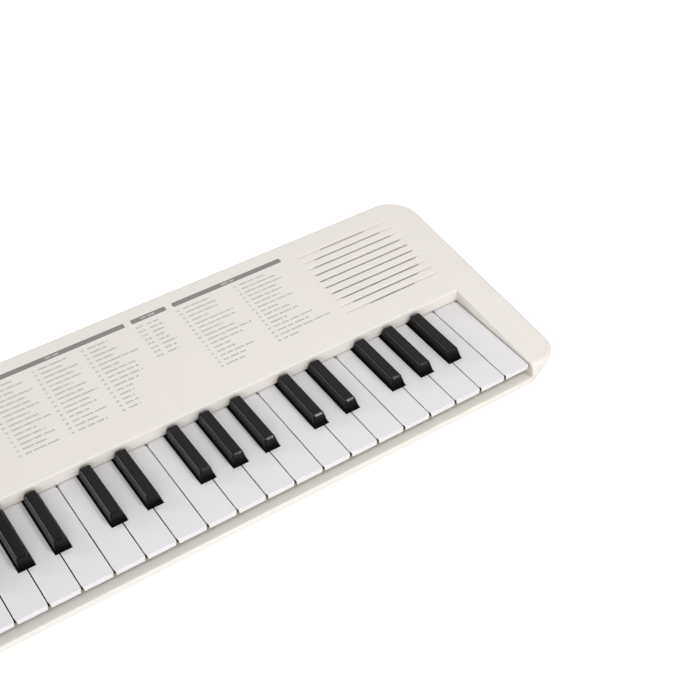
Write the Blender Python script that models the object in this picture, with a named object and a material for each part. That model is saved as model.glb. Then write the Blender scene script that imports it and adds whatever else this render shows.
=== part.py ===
"""Table-top mini keyboard with 37 mini keys, as an assembly of separate pieces.

All sizes are metres.  +X runs along the keys towards the high notes, +Y runs from
the player to the rear and +Z is up.  The origin is on the table, under the middle
of the case.
"""

import math

import bmesh
import bpy
from mathutils import Matrix, Vector

# Overall sizes
KEY_PITCH = 0.0205
WHITE_COUNT = 22
CHEEK_WIDTH = 0.0252
BODY_DEPTH = 0.192
KEY_TOP_Z = 0.033
FOOT_HEIGHT = 0.002

# Case shells
WALL = 0.0022
CORNER_RADIUS = 0.0235
FRONT_BASE_RADIUS = 0.031
FRONT_RIM_RADIUS = 0.016
FRONT_LEAN = 0.0015
EDGE_RADIUS = 0.003
EDGE_STEPS = 3
CORNER_STEPS = 7
RAIL_WIDTH = 0.005
RAIL_REACH = 0.0062
RAIL_DROP = 0.009
SPLIT_DROP = 0.0128
PANEL_SLOPE = 0.095
PANEL_RISE = 0.0021
TAPER_INSET = 0.0135
TAPER_FRONT = 0.0035
SHADOW_GAP = 0.0006
TOUCH_GAP = 0.0003
PAST = 0.001

# Opening for the keys
WELL_GAP = 0.0004
WELL_WALL = 0.002
WHITE_VISIBLE = 0.0812
FASCIA_GAP = 0.0008

# Keys
KEY_GAP = 0.0006
CAP_LIP = 0.0035
CAP_THICK = 0.0016
CAP_WALL = 0.0013
CAP_EDGE = 0.0004
CAP_CORNER = 0.0008
BLACK_BASE = 0.010
BLACK_TOP = 0.0074
BLACK_RISE = 0.0079
BLACK_GAP = 0.0005
BLACK_SETBACK = 0.0315
BLACK_FRONT_LEAN = 0.0027
BLACK_REAR_GAP = 0.0006
BLACK_REAR_LEAN = 0.0016
BLACK_POCKET = 0.0035
TAIL_START = 0.0435
TAIL_HEIGHT = 0.009
TAIL_OVERHANG = 0.004
WHITE_TRAVEL = 0.004
BLACK_TRAVEL = 0.0035

# Key pivots, stops and contacts
PIVOT_SETBACK = 0.024
PIVOT_DROP = 0.007
RIDGE_RADIUS = 0.0015
RIDGE_STEPS = 6
PIVOT_CLEARANCE = 0.00035
ACTUATOR_AHEAD = 0.025
POST_WIDTH = 0.003
POST_LENGTH = 0.004
LEG_SETBACK = 0.0077
LEG_WIDTH = 0.005
LEG_THICK = 0.002
FLANGE_GAP = 0.0008
FLANGE_LENGTH = 0.006
FLANGE_DROP = 0.013
FLANGE_THICK = 0.002
FELT_THICK = 0.0015
TOE_THICK = 0.0018
TOE_REACH = 0.0028
RIB_WIDTH = 0.008
RIB_LENGTH = 0.0035
TONGUE_SETBACK = 0.006
TONGUE_WIDTH = 0.003
TONGUE_LENGTH = 0.003
TONGUE_CLEARANCE = 0.0006

# Key frame, contact strip and contact board
BOARD_STANDOFF = 0.0052
BOARD_THICK = 0.0016
STRIP_THICK = 0.0008
DOME_HEIGHT = 0.0034
DOME_WIDTH = 0.007
DOME_TOP_WIDTH = 0.0045
STRIP_WIDTH = 0.014
BOARD_WIDTH = 0.022
FRAME_THICK = 0.002
FRAME_END_GAP = 0.0008
WINDOW_LENGTH = 0.018
BRIDGE_WIDTH = 0.004
LEG_RADIUS = 0.0035
SUPPORT_FROM_END = 0.023

# Bosses, screws and feet
BOSS_RADIUS = 0.0034
SCREW_RADIUS = 0.0015
SCREW_HEAD_RADIUS = 0.0029
SCREW_HEAD_DEPTH = 0.0016
BOSS_FROM_SIDE = 0.0187
BOSS_FROM_FRONT = 0.032
BOSS_FROM_REAR = 0.022
BOSS_BEHIND_FASCIA = 0.038
BOSS_BORE = 0.010
FOOT_RADIUS = 0.006
FOOT_DRAFT = 0.0006
FOOT_FROM_SIDE = 0.036
FOOT_FROM_FRONT = 0.030
FOOT_FROM_REAR = 0.026

# Battery bay for six AA cells
BAY_LENGTH = 0.116
BAY_WIDTH = 0.050
BAY_HEIGHT = 0.018
BAY_FROM_REAR = 0.020
BAY_WALL = 0.0016
COVER_THICK = 0.002
COVER_GAP = 0.0004
COVER_LEDGE = 0.003
TAB_WIDTH = 0.012
TAB_SPACING = 0.070
TAB_ROOT = 0.004
TAB_LENGTH = 0.0058
TAB_THICK = 0.0015

# Speaker and its grille
SPEAKER_FROM_SIDE = 0.0649
SPEAKER_FROM_REAR = 0.0507
SPEAKER_RADIUS = 0.0385
SPEAKER_DEPTH = 0.024
BASKET_SHEET = 0.0024
BASKET_SLOPE = 0.003
MAGNET_RADIUS = 0.019
MAGNET_DEPTH = 0.011
VOICE_RADIUS = 0.0114
VOICE_DEPTH = 0.012
CONE_RADIUS = 0.0345
CONE_EDGE = 0.004
CONE_TOP = 0.0011
CONE_DEPTH = 0.0085
CONE_MIDDLE = 0.0076
CONE_THICK = 0.0008
CAP_RING = 0.007
SPEAKER_STEPS = 24
SLOT_COUNT = 10
SLOT_PITCH = 0.00716
SLOT_SPAN = 0.0797
SLOT_WIDTH = 0.0018
SLOT_STEP = 0.0001
GROOVE_AHEAD = 0.0022
GROOVE_WIDTH = 0.0037
GROOVE_DEPTH = 0.0013
GRILLE_RADIUS = 0.0375

# Controls, placed on the panel from its left side and from the fascia
CONTROL_GAP = 0.0004
BUTTON_TRAVEL = 0.0008
BUTTON_RISE = 0.0018
BUTTON_FLANGE = 0.0013
FLANGE_SHEET = 0.001
BUTTON_ROW = 0.040
UPPER_ROW = 0.072
BUTTONS = (
    ("voice_button", 0.0655, 0.014, 0.007),
    ("rhythm_button", 0.0860, 0.014, 0.007),
    ("song_button", 0.1065, 0.014, 0.007),
    ("start_stop_button", 0.1330, 0.020, 0.009),
)
ROCKER_X = 0.1330
ROCKER_LENGTH = 0.024
ROCKER_WIDTH = 0.009
ROCKER_SWING = math.radians(3.0)
ROCKER_DIP = 0.0006
AXLE_SIZE = 0.003
KNOB_X = 0.034
KNOB_RADIUS = 0.0095
KNOB_RISE = 0.005
KNOB_DRAFT = 0.0005
KNOB_EDGE = 0.0009
POINTER_WIDTH = 0.0012
POINTER_LENGTH = 0.0045
POINTER_RISE = 0.0003
KNOB_STEPS = 24
SHAFT_RADIUS = 0.003
SWITCH_X = 0.034
SWITCH_TRAVEL = 0.004
SWITCH_LENGTH = 0.005
SWITCH_WIDTH = 0.0045
SWITCH_RISE = 0.0014
WINDOW_X = 0.0865
WINDOW_SPAN = 0.046
WINDOW_HEIGHT = 0.020
WINDOW_THICK = 0.0014
WINDOW_LEDGE = 0.0015
MAIN_BOARD_DROP = 0.011
MAIN_BOARD_MARGIN = 0.010
TACT_SIZE = 0.006
TACT_HEIGHT = 0.0035
POT_RADIUS = 0.0048
POT_HEIGHT = 0.0042

# Rear sockets
SOCKET_X = 0.080
SOCKET_SPACING = 0.018
SOCKET_LENGTH = 0.036
SOCKET_BODY = 0.017
SOCKET_HEIGHT = 0.012
SOCKET_DEPTH = 0.0145
SOCKET_Z = 0.032
SOCKET_HOLE = 0.0038
SOCKET_STEPS = 12
DC_RADIUS = 0.0033
PHONES_RADIUS = 0.0018

# Note names of one octave, and how far each black key sits off the white keys' joint
OCTAVE = ("C", "C_sharp", "D", "D_sharp", "E", "F", "F_sharp", "G", "G_sharp", "A", "A_sharp", "B")
BLACK_SHIFT = {
    "C_sharp": -0.0017,
    "D_sharp": 0.0019,
    "F_sharp": -0.0025,
    "G_sharp": 0.0001,
    "A_sharp": 0.0028,
}

# Corners of a rectangle, anticlockwise, as signs of its half sizes
SQUARE = ((-1, -1), (1, -1), (1, 1), (-1, 1))

# Places worked out from the sizes
BODY_HALF = WHITE_COUNT * KEY_PITCH / 2 + CHEEK_WIDTH
KEYS_LEFT = -WHITE_COUNT * KEY_PITCH / 2
WELL_HALF = WHITE_COUNT * KEY_PITCH / 2 + WELL_GAP
FRONT_Y = -BODY_DEPTH / 2
REAR_Y = BODY_DEPTH / 2
KEY_FRONT_Y = FRONT_Y + RAIL_WIDTH
FASCIA_Y = KEY_FRONT_Y + WHITE_VISIBLE
BLACK_FRONT_Y = KEY_FRONT_Y + BLACK_SETBACK
RAIL_TOP_Z = KEY_TOP_Z - RAIL_DROP
SPLIT_Z = KEY_TOP_Z - SPLIT_DROP
PANEL_ANGLE = math.atan(PANEL_SLOPE)
PANEL_FRONT_Z = KEY_TOP_Z + PANEL_RISE
FLOOR_TOP_Z = FOOT_HEIGHT + WALL
PIVOT_Y = FASCIA_Y + PIVOT_SETBACK
PIVOT_Z = KEY_TOP_Z - PIVOT_DROP
TAIL_END_Y = PIVOT_Y + TAIL_OVERHANG
TAIL_BOTTOM_Z = KEY_TOP_Z - TAIL_HEIGHT
WHITE_SWING = WHITE_TRAVEL / (PIVOT_Y - KEY_FRONT_Y)
BLACK_SWING = BLACK_TRAVEL / (PIVOT_Y - BLACK_FRONT_Y)
ACTUATOR_Y = FASCIA_Y - ACTUATOR_AHEAD
BOARD_TOP_Z = FLOOR_TOP_Z + BOARD_STANDOFF + BOARD_THICK
STRIP_Z = BOARD_TOP_Z + TOUCH_GAP
DOME_TOP_Z = STRIP_Z + STRIP_THICK + DOME_HEIGHT
FRAME_Z = STRIP_Z + STRIP_THICK + TOUCH_GAP
FRAME_TOP_Z = FRAME_Z + FRAME_THICK
LEG_Y = KEY_FRONT_Y + LEG_SETBACK
FLANGE_Y = LEG_Y + LEG_THICK + FLANGE_GAP
FLANGE_END_Y = FLANGE_Y + FLANGE_LENGTH
FLANGE_TOP_Z = KEY_TOP_Z - FLANGE_DROP
FLANGE_Z = FLANGE_TOP_Z - FLANGE_THICK
FELT_TOP_Z = FLANGE_TOP_Z + TOUCH_GAP + FELT_THICK
BAY_Y = REAR_Y - BAY_FROM_REAR - BAY_WIDTH
BAY_END_Y = REAR_Y - BAY_FROM_REAR
SPEAKER_X = BODY_HALF - SPEAKER_FROM_SIDE
PANEL_LEFT = -BODY_HALF


def clear_scene():
    """Start from an empty scene."""
    for item in list(bpy.data.objects):
        bpy.data.objects.remove(item, do_unlink=True)


def finish(name, color, roughness, metallic=0.0):
    """Make one plain material from a red, green and blue colour."""
    material = bpy.data.materials.new(name)
    material.use_nodes = True
    shader = material.node_tree.nodes["Principled BSDF"]
    shader.inputs["Base Color"].default_value = (*color, 1.0)
    shader.inputs["Roughness"].default_value = roughness
    shader.inputs["Metallic"].default_value = metallic
    return material


def add_loft(bm, rings):
    """Skin a closed solid over rings that all have the same number of points."""
    loops = [[bm.verts.new(point) for point in ring] for ring in rings]
    count = len(loops[0])
    for lower, upper in zip(loops, loops[1:]):
        for i in range(count):
            j = (i + 1) % count
            bm.faces.new((lower[i], lower[j], upper[j], upper[i]))
    bm.faces.new(list(reversed(loops[0])))
    bm.faces.new(loops[-1])


def add_prism(bm, outline, low, high):
    """Stand a plan outline up between two heights."""
    add_loft(bm, [[Vector((x, y, z)) for x, y in outline] for z in (low, high)])


def add_box(bm, low, high):
    """Add a box between two corners."""
    (x0, y0, z0), (x1, y1, z1) = low, high
    add_prism(bm, [(x0, y0), (x1, y0), (x1, y1), (x0, y1)], z0, z1)


def circle(center, radius, steps):
    """Return the points of a circle in plan."""
    turns = [2 * math.pi * i / steps for i in range(steps)]
    return [(center[0] + radius * math.cos(t), center[1] + radius * math.sin(t)) for t in turns]


def add_cylinder(bm, center, radius, low, high, steps=12):
    """Add an upright cylinder."""
    add_prism(bm, circle(center, radius, steps), low, high)


def add_bar(bm, profile, left, right):
    """Run a (y, z) profile along X."""
    add_loft(bm, [[Vector((x, y, z)) for y, z in profile] for x in (left, right)])


def add_turned(bm, profile, steps):
    """Turn a closed (radius, z) profile about the Z axis; radius 0 points close the middle."""
    rings = []
    for i in range(steps):
        turn = 2 * math.pi * i / steps
        rings.append([(r * math.cos(turn), r * math.sin(turn), z) for r, z in profile])
    loops = []
    middle = {}
    for ring in rings:
        loop = []
        for k, (r, _) in enumerate(profile):
            if r == 0.0 and k in middle:
                loop.append(middle[k])
                continue
            vert = bm.verts.new(ring[k])
            if r == 0.0:
                middle[k] = vert
            loop.append(vert)
        loops.append(loop)
    count = len(profile)
    for i in range(steps):
        here, after = loops[i], loops[(i + 1) % steps]
        for k in range(count):
            m = (k + 1) % count
            corners = [here[k], here[m], after[m], after[k]]
            unique = list(dict.fromkeys(corners))
            if len(unique) > 2:
                bm.faces.new(unique)


def solid(name, build, matrix=None):
    """Make a mesh object from a function that fills a bmesh."""
    bm = bmesh.new()
    build(bm)
    if matrix is not None:
        bm.transform(matrix)
    bmesh.ops.recalc_face_normals(bm, faces=bm.faces)
    mesh = bpy.data.meshes.new(name)
    bm.to_mesh(mesh)
    bm.free()
    item = bpy.data.objects.new(name, mesh)
    bpy.context.scene.collection.objects.link(item)
    return item


def combine(body, tool, operation):
    """Join the tool to the body, or cut it out of the body, and drop the tool."""
    modifier = body.modifiers.new(operation.title(), "BOOLEAN")
    modifier.operation = operation
    modifier.object = tool
    depsgraph = bpy.context.evaluated_depsgraph_get()
    result = bpy.data.meshes.new_from_object(body.evaluated_get(depsgraph))
    body.modifiers.clear()
    body.data = result
    bpy.data.objects.remove(tool, do_unlink=True)


def join(body, build, matrix=None):
    """Join what a function builds to the body."""
    combine(body, solid("joining piece", build, matrix), "UNION")


def cut(body, build, matrix=None):
    """Cut what a function builds out of the body."""
    combine(body, solid("cutter", build, matrix), "DIFFERENCE")


def dress(item, name, material, smooth=False):
    """Name a finished piece and give it its material."""
    item.name = name
    item.data.name = name
    item.data.materials.clear()
    item.data.materials.append(material)
    if smooth:
        item.data.shade_smooth()
        item.data.set_sharp_from_angle(angle=math.radians(35))
    return item


def set_origin(item, point):
    """Move a piece's origin to a point and leave the piece where it is."""
    item.data.transform(Matrix.Translation(-Vector(point)))
    item.location = point


def inset_outline(outline, distance):
    """Move each edge of an anticlockwise outline inwards by a distance."""
    result = []
    count = len(outline)
    for i in range(count):
        before = Vector(outline[i - 1])
        here = Vector(outline[i])
        after = Vector(outline[(i + 1) % count])
        first = (here - before).normalized()
        second = (after - here).normalized()
        normal_a = Vector((-first.y, first.x))
        normal_b = Vector((-second.y, second.x))
        miter = (normal_a + normal_b) / (1.0 + normal_a.dot(normal_b))
        result.append(tuple(here + miter * distance))
    return result


def case_outline(inset, front_radius=FRONT_BASE_RADIUS, setback=0.0):
    """Return the case's rounded plan outline, drawn in by a distance, its front moved back."""
    front_y = FRONT_Y + setback + front_radius
    rear_y = REAR_Y - CORNER_RADIUS
    corners = (
        (BODY_HALF - front_radius, front_y, front_radius, -90),
        (BODY_HALF - CORNER_RADIUS, rear_y, CORNER_RADIUS, 0),
        (-BODY_HALF + CORNER_RADIUS, rear_y, CORNER_RADIUS, 90),
        (-BODY_HALF + front_radius, front_y, front_radius, 180),
    )
    points = []
    for x, y, radius, start in corners:
        reach = radius - inset
        for i in range(CORNER_STEPS + 1):
            turn = math.radians(start + 90 * i / CORNER_STEPS)
            points.append((x + reach * math.cos(turn), y + reach * math.sin(turn)))
    return points


def rim_outline(inset):
    """Return the case's plan outline at the rim of its top, where the front corners are tighter."""
    return case_outline(inset, FRONT_RIM_RADIUS, FRONT_LEAN)


def panel_z(y):
    """Return the height of the sloping top at a depth."""
    return PANEL_FRONT_Z + PANEL_SLOPE * (y - KEY_FRONT_Y)


def panel_frame(x, up_slope):
    """Return the frame of a point on the panel, measured from the fascia up the slope."""
    y = FASCIA_Y + up_slope * math.cos(PANEL_ANGLE)
    place = Matrix.Translation((x, y, panel_z(y)))
    return place @ Matrix.Rotation(PANEL_ANGLE, 4, "X")


def panel_x(from_left):
    """Return the X of a control measured from the case's left side."""
    return PANEL_LEFT + from_left


def layout():
    """Return every key as (name, is_black, centre x, left edge, right edge of its rear part)."""
    joints = {}
    white = 0
    notes = []
    number = 0
    while white < WHITE_COUNT:
        note = OCTAVE[number % len(OCTAVE)]
        if note in BLACK_SHIFT:
            joints[white] = KEYS_LEFT + white * KEY_PITCH + BLACK_SHIFT[note]
            notes.append((f"key_{number + 1:02d}_{note}", True, white))
        else:
            notes.append((f"key_{number + 1:02d}_{note}", False, white))
            white += 1
        number += 1
    half = BLACK_BASE / 2 + BLACK_GAP
    keys = []
    for name, is_black, index in notes:
        if is_black:
            center = joints[index]
            keys.append((name, True, center, center - BLACK_BASE / 2, center + BLACK_BASE / 2))
            continue
        left = KEYS_LEFT + index * KEY_PITCH
        rear_left = joints[index] + half if index in joints else left + KEY_GAP / 2
        right_edge = left + KEY_PITCH - KEY_GAP / 2
        rear_right = joints[index + 1] - half if index + 1 in joints else right_edge
        keys.append((name, False, left + KEY_PITCH / 2, rear_left, rear_right))
    return keys


def pivot_notch(bm):
    """Fill the round-topped notch by which a key sits on the pivot ridge."""
    radius = RIDGE_RADIUS + PIVOT_CLEARANCE
    profile = [(PIVOT_Y - radius, TAIL_BOTTOM_Z - PAST), (PIVOT_Y + radius, TAIL_BOTTOM_Z - PAST)]
    for i in range(RIDGE_STEPS + 1):
        turn = math.pi * i / RIDGE_STEPS
        profile.append((PIVOT_Y + radius * math.cos(turn), PIVOT_Z + radius * math.sin(turn)))
    add_bar(bm, profile, -KEY_PITCH, KEY_PITCH)


def white_key(name, left, right):
    """Model one white key, with its pivot at the origin and its rear part between two sides."""
    half = (KEY_PITCH - KEY_GAP) / 2
    notch_y = BLACK_FRONT_Y - BLACK_GAP
    outline = [
        (-half + CAP_CORNER, KEY_FRONT_Y),
        (half - CAP_CORNER, KEY_FRONT_Y),
        (half, KEY_FRONT_Y + CAP_CORNER),
    ]
    if right < half - KEY_GAP:
        outline += [(half, notch_y), (right, notch_y)]
    outline += [(right, TAIL_END_Y), (left, TAIL_END_Y)]
    if left > KEY_GAP - half:
        outline += [(left, notch_y), (-half, notch_y)]
    outline.append((-half, KEY_FRONT_Y + CAP_CORNER))
    lip_z = KEY_TOP_Z - CAP_LIP
    under_z = KEY_TOP_Z - CAP_THICK
    tail_y = KEY_FRONT_Y + TAIL_START
    middle = (left + right) / 2

    def cap(bm):
        edge = inset_outline(outline, CAP_EDGE)
        rings = [(outline, lip_z), (outline, KEY_TOP_Z - CAP_EDGE), (edge, KEY_TOP_Z)]
        add_loft(bm, [[Vector((x, y, z)) for x, y in ring] for ring, z in rings])

    def pocket(bm):
        inner = inset_outline(outline, CAP_WALL)
        hollow = [(x, min(y, tail_y)) for x, y in inner]
        add_prism(bm, hollow, lip_z - PAST, under_z)

    def tail(bm):
        add_box(bm, (left, tail_y - PAST, TAIL_BOTTOM_Z), (right, TAIL_END_Y, under_z))

    def fittings(bm):
        sunk_z = under_z + CAP_THICK / 2
        post_z = DOME_TOP_Z + WHITE_SWING * (PIVOT_Y - ACTUATOR_Y + POST_LENGTH / 2) + TOUCH_GAP
        half_post = POST_WIDTH / 2
        add_box(bm, (middle - half_post, ACTUATOR_Y - POST_LENGTH / 2, post_z),
                (middle + half_post, ACTUATOR_Y + POST_LENGTH / 2, sunk_z))
        rib_z = FELT_TOP_Z + WHITE_SWING * (PIVOT_Y - FLANGE_Y) + TOUCH_GAP
        rib_y = FLANGE_Y + (FLANGE_LENGTH - RIB_LENGTH) / 2
        add_box(bm, (-RIB_WIDTH / 2, rib_y, rib_z), (RIB_WIDTH / 2, rib_y + RIB_LENGTH, sunk_z))
        toe_top = FLANGE_Z - TOUCH_GAP
        toe_z = toe_top - TOE_THICK
        toe_y = LEG_Y + LEG_THICK + TOE_REACH
        hook = [
            (LEG_Y, toe_z),
            (toe_y, toe_z),
            (toe_y, toe_top),
            (LEG_Y + LEG_THICK, toe_top),
            (LEG_Y + LEG_THICK, sunk_z),
            (LEG_Y, sunk_z),
        ]
        add_bar(bm, hook, -LEG_WIDTH / 2, LEG_WIDTH / 2)

    item = solid(name, cap)
    cut(item, pocket)
    join(item, tail)
    join(item, fittings)
    cut(item, pivot_notch)
    item.data.transform(Matrix.Translation((0, -PIVOT_Y, -PIVOT_Z)))
    return item


def black_key(name):
    """Model one black key, with its pivot at the origin."""
    half = BLACK_BASE / 2
    top_z = KEY_TOP_Z + BLACK_RISE
    rear_y = FASCIA_Y - BLACK_REAR_GAP
    lean = (BLACK_BASE - BLACK_TOP) / 2
    foot_z = KEY_TOP_Z - CAP_LIP
    rest_z = KEY_TOP_Z + BLACK_POCKET - CAP_THICK

    def section(inset, front, rear, z):
        side = half - inset
        return [Vector((x, y, z)) for x, y in ((-side, front), (side, front), (side, rear), (-side, rear))]

    def raised(bm):
        shoulder_z = top_z - 2 * CAP_EDGE
        share = 1 - 2 * CAP_EDGE / BLACK_RISE
        top_front = BLACK_FRONT_Y + BLACK_FRONT_LEAN + CAP_EDGE
        add_loft(bm, [
            section(0, BLACK_FRONT_Y, rear_y, foot_z),
            section(0, BLACK_FRONT_Y, rear_y, KEY_TOP_Z),
            section(lean * share, BLACK_FRONT_Y + BLACK_FRONT_LEAN * share, rear_y, shoulder_z),
            section(lean + CAP_EDGE, top_front, rear_y - BLACK_REAR_LEAN, top_z),
        ])

    def tail(bm):
        start = KEY_FRONT_Y + TAIL_START
        add_box(bm, (-half, start, TAIL_BOTTOM_Z), (half, TAIL_END_Y, KEY_TOP_Z - CAP_EDGE))

    def pocket(bm):
        add_box(bm, (-half + CAP_WALL, BLACK_FRONT_Y + CAP_WALL, foot_z - PAST),
                (half - CAP_WALL, KEY_FRONT_Y + TAIL_START - CAP_WALL, rest_z))

    def fittings(bm):
        post_z = DOME_TOP_Z + BLACK_SWING * (PIVOT_Y - ACTUATOR_Y + POST_LENGTH / 2) + TOUCH_GAP
        half_post = POST_WIDTH / 2
        add_box(bm, (-half_post, ACTUATOR_Y - POST_LENGTH / 2, post_z),
                (half_post, ACTUATOR_Y + POST_LENGTH / 2, TAIL_BOTTOM_Z + CAP_WALL))
        tongue_y = BLACK_FRONT_Y + TONGUE_SETBACK
        add_box(bm, (-TONGUE_WIDTH / 2, tongue_y, FRAME_Z + FRAME_THICK / 4),
                (TONGUE_WIDTH / 2, tongue_y + TONGUE_LENGTH, rest_z + CAP_THICK / 2))

    item = solid(name, raised)
    join(item, tail)
    cut(item, pocket)
    join(item, fittings)
    cut(item, pivot_notch)
    item.data.transform(Matrix.Translation((0, -PIVOT_Y, -PIVOT_Z)))
    return item


def keys(white_finish, black_finish):
    """Set every key on the pivot ridge; keys of the same shape share one mesh."""
    shapes = {}
    for name, is_black, center, rear_left, rear_right in layout():
        left, right = rear_left - center, rear_right - center
        shape = (is_black, round(left, 7), round(right, 7))
        if shape in shapes:
            item = bpy.data.objects.new(name, shapes[shape])
            bpy.context.scene.collection.objects.link(item)
        else:
            item = black_key(name) if is_black else white_key(name, left, right)
            shapes[shape] = dress(item, name, black_finish if is_black else white_finish).data
        item.location = (center, PIVOT_Y, PIVOT_Z)


def key_frame(material):
    """Model the frame that carries the keys: pivot ridge, stop flange, window and legs."""
    half = WELL_HALF - FRAME_END_GAP
    joint_xs = [-WELL_HALF] + bare_joints() + [WELL_HALF]

    def shell(bm):
        wall = RIDGE_RADIUS * 2
        profile = [
            (FLANGE_END_Y - FRAME_THICK, FRAME_Z),
            (PIVOT_Y + RIDGE_RADIUS, FRAME_Z),
        ]
        for i in range(RIDGE_STEPS + 1):
            turn = math.pi * i / RIDGE_STEPS
            profile.append((PIVOT_Y + RIDGE_RADIUS * math.cos(turn), PIVOT_Z + RIDGE_RADIUS * math.sin(turn)))
        profile += [
            (PIVOT_Y + RIDGE_RADIUS - wall, FRAME_TOP_Z),
            (FLANGE_END_Y, FRAME_TOP_Z),
            (FLANGE_END_Y, FLANGE_TOP_Z),
            (FLANGE_Y, FLANGE_TOP_Z),
            (FLANGE_Y, FLANGE_Z),
            (FLANGE_END_Y - FRAME_THICK, FLANGE_Z),
        ]
        add_bar(bm, profile, -half, half)

    def legs(bm):
        front_y = FLANGE_END_Y + LEG_RADIUS * 2
        rear_y = PIVOT_Y - RIDGE_RADIUS - LEG_RADIUS * 2
        for step in (-2, -1, 0, 1, 2):
            x = step * (half - LEG_RADIUS * 4) / 2
            for y in (front_y, rear_y):
                add_cylinder(bm, (x, y), LEG_RADIUS, FLOOR_TOP_Z + TOUCH_GAP, FRAME_Z + FRAME_THICK / 2, 8)

    def windows(bm):
        for left, right in zip(joint_xs, joint_xs[1:]):
            add_box(bm, (left + BRIDGE_WIDTH / 2, ACTUATOR_Y - WINDOW_LENGTH / 2, FRAME_Z - PAST),
                    (right - BRIDGE_WIDTH / 2, ACTUATOR_Y + WINDOW_LENGTH / 2, FRAME_TOP_Z + PAST))

    def slots(bm):
        y = BLACK_FRONT_Y + TONGUE_SETBACK
        side = TONGUE_WIDTH / 2 + TONGUE_CLEARANCE
        for _, is_black, center, _, _ in layout():
            if is_black:
                add_box(bm, (center - side, y - TONGUE_CLEARANCE, FRAME_Z - PAST),
                        (center + side, y + TONGUE_LENGTH + 2 * TONGUE_CLEARANCE, FRAME_TOP_Z + PAST))

    item = solid("key_frame", shell)
    join(item, legs)
    cut(item, windows)
    cut(item, slots)
    return dress(item, "key_frame", material)


def bare_joints():
    """Return the X of each joint between white keys that has no black key over it."""
    whites = [key for key in layout() if not key[1]]
    found = []
    for key, after in zip(whites, whites[1:]):
        if after[3] - key[4] < 2 * KEY_GAP:
            found.append((key[4] + after[3]) / 2)
    return found


def stop_felt(material):
    """Model the felt strip on the flange that stops the white keys."""
    half = WELL_HALF - FRAME_END_GAP

    def strip(bm):
        add_box(bm, (-half, FLANGE_Y + TOUCH_GAP, FLANGE_TOP_Z + TOUCH_GAP),
                (half, FLANGE_END_Y - TOUCH_GAP, FELT_TOP_Z))

    return dress(solid("key_stop_felt", strip), "key_stop_felt", material)


def contact_strip(material):
    """Model the rubber strip with one dome under each key, drawn pressed down."""
    half = WELL_HALF - FRAME_END_GAP

    def base(bm):
        add_box(bm, (-half, ACTUATOR_Y - STRIP_WIDTH / 2, STRIP_Z),
                (half, ACTUATOR_Y + STRIP_WIDTH / 2, STRIP_Z + STRIP_THICK))

    def domes(bm):
        for _, _, _, left, right in layout():
            x = (left + right) / 2
            rings = []
            for width, z in ((DOME_WIDTH, STRIP_Z + STRIP_THICK / 2), (DOME_TOP_WIDTH, DOME_TOP_Z)):
                reach = width / 2
                rings.append([Vector((x + dx * reach, ACTUATOR_Y + dy * reach, z)) for dx, dy in SQUARE])
            add_loft(bm, rings)

    item = solid("rubber_contact_strip", base)
    join(item, domes)
    return dress(item, "rubber_contact_strip", material)


def contact_board(material):
    """Model the long circuit board under the rubber strip."""
    half = WELL_HALF - FRAME_END_GAP
    low = (-half, ACTUATOR_Y - BOARD_WIDTH / 2, BOARD_TOP_Z - BOARD_THICK)
    high = (half, ACTUATOR_Y + BOARD_WIDTH / 2, BOARD_TOP_Z)
    return dress(solid("contact_board", lambda bm: add_box(bm, low, high)), "contact_board", material)


def boss_places():
    """Return the plan place of each screw boss that holds the two shells together."""
    side = BODY_HALF - BOSS_FROM_SIDE
    rear = REAR_Y - BOSS_FROM_REAR
    inner = BAY_LENGTH / 2 + BOSS_RADIUS * 3
    places = []
    for sign in (-1, 1):
        places.append((sign * side, FRONT_Y + BOSS_FROM_FRONT))
        places.append((sign * side, FASCIA_Y + BOSS_BEHIND_FASCIA))
        places.append((sign * inner, rear))
    return places


def grille_rows():
    """Return each groove's place up the slope, counted from the fascia."""
    middle = (REAR_Y - SPEAKER_FROM_REAR - FASCIA_Y) / math.cos(PANEL_ANGLE)
    return [middle + (i - (SLOT_COUNT - 1) / 2) * SLOT_PITCH for i in range(SLOT_COUNT)]


def add_grooves(bm):
    """Add the tapered grooves of the speaker grille, in the panel's own frame."""
    half = SLOT_SPAN / 2
    for row in grille_rows():
        front = row - GROOVE_AHEAD
        profile = [
            (front, -GROOVE_DEPTH),
            (front + SLOT_WIDTH, -GROOVE_DEPTH),
            (front + GROOVE_WIDTH, 0.0),
            (front + GROOVE_WIDTH, PAST / 2),
            (front, PAST / 2),
        ]
        add_bar(bm, profile, -half, half)


def add_slots(bm):
    """Add the through slots of the grille, as long as the speaker's circle leaves them."""
    rows = grille_rows()
    middle = (rows[0] + rows[-1]) / 2
    for row in rows:
        chord = math.sqrt(GRILLE_RADIUS ** 2 - (row - middle) ** 2)
        front = row - GROOVE_AHEAD + SLOT_STEP
        add_box(bm, (-chord, front, -WALL - PAST),
                (chord, front + SLOT_WIDTH - 2 * SLOT_STEP, -GROOVE_DEPTH / 2))


def control_hole(bm, width, length):
    """Add a hole through the panel for a control of a given size."""
    side = width / 2 + CONTROL_GAP
    reach = length / 2 + CONTROL_GAP
    add_box(bm, (-side, -reach, -WALL - PAST), (side, reach, PAST))


def control_openings():
    """Return the place and size of each square opening in the panel."""
    openings = [(panel_x(x), BUTTON_ROW, length, width) for _, x, length, width in BUTTONS]
    openings.append((panel_x(ROCKER_X), UPPER_ROW, ROCKER_LENGTH, ROCKER_WIDTH))
    slide_x = panel_x(SWITCH_X) + SWITCH_TRAVEL / 2
    openings.append((slide_x, UPPER_ROW, SWITCH_LENGTH + SWITCH_TRAVEL, SWITCH_WIDTH))
    view_x, view_y = WINDOW_SPAN - 2 * WINDOW_LEDGE, WINDOW_HEIGHT - 2 * WINDOW_LEDGE
    openings.append((panel_x(WINDOW_X), UPPER_ROW, view_x, view_y))
    return openings


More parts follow.
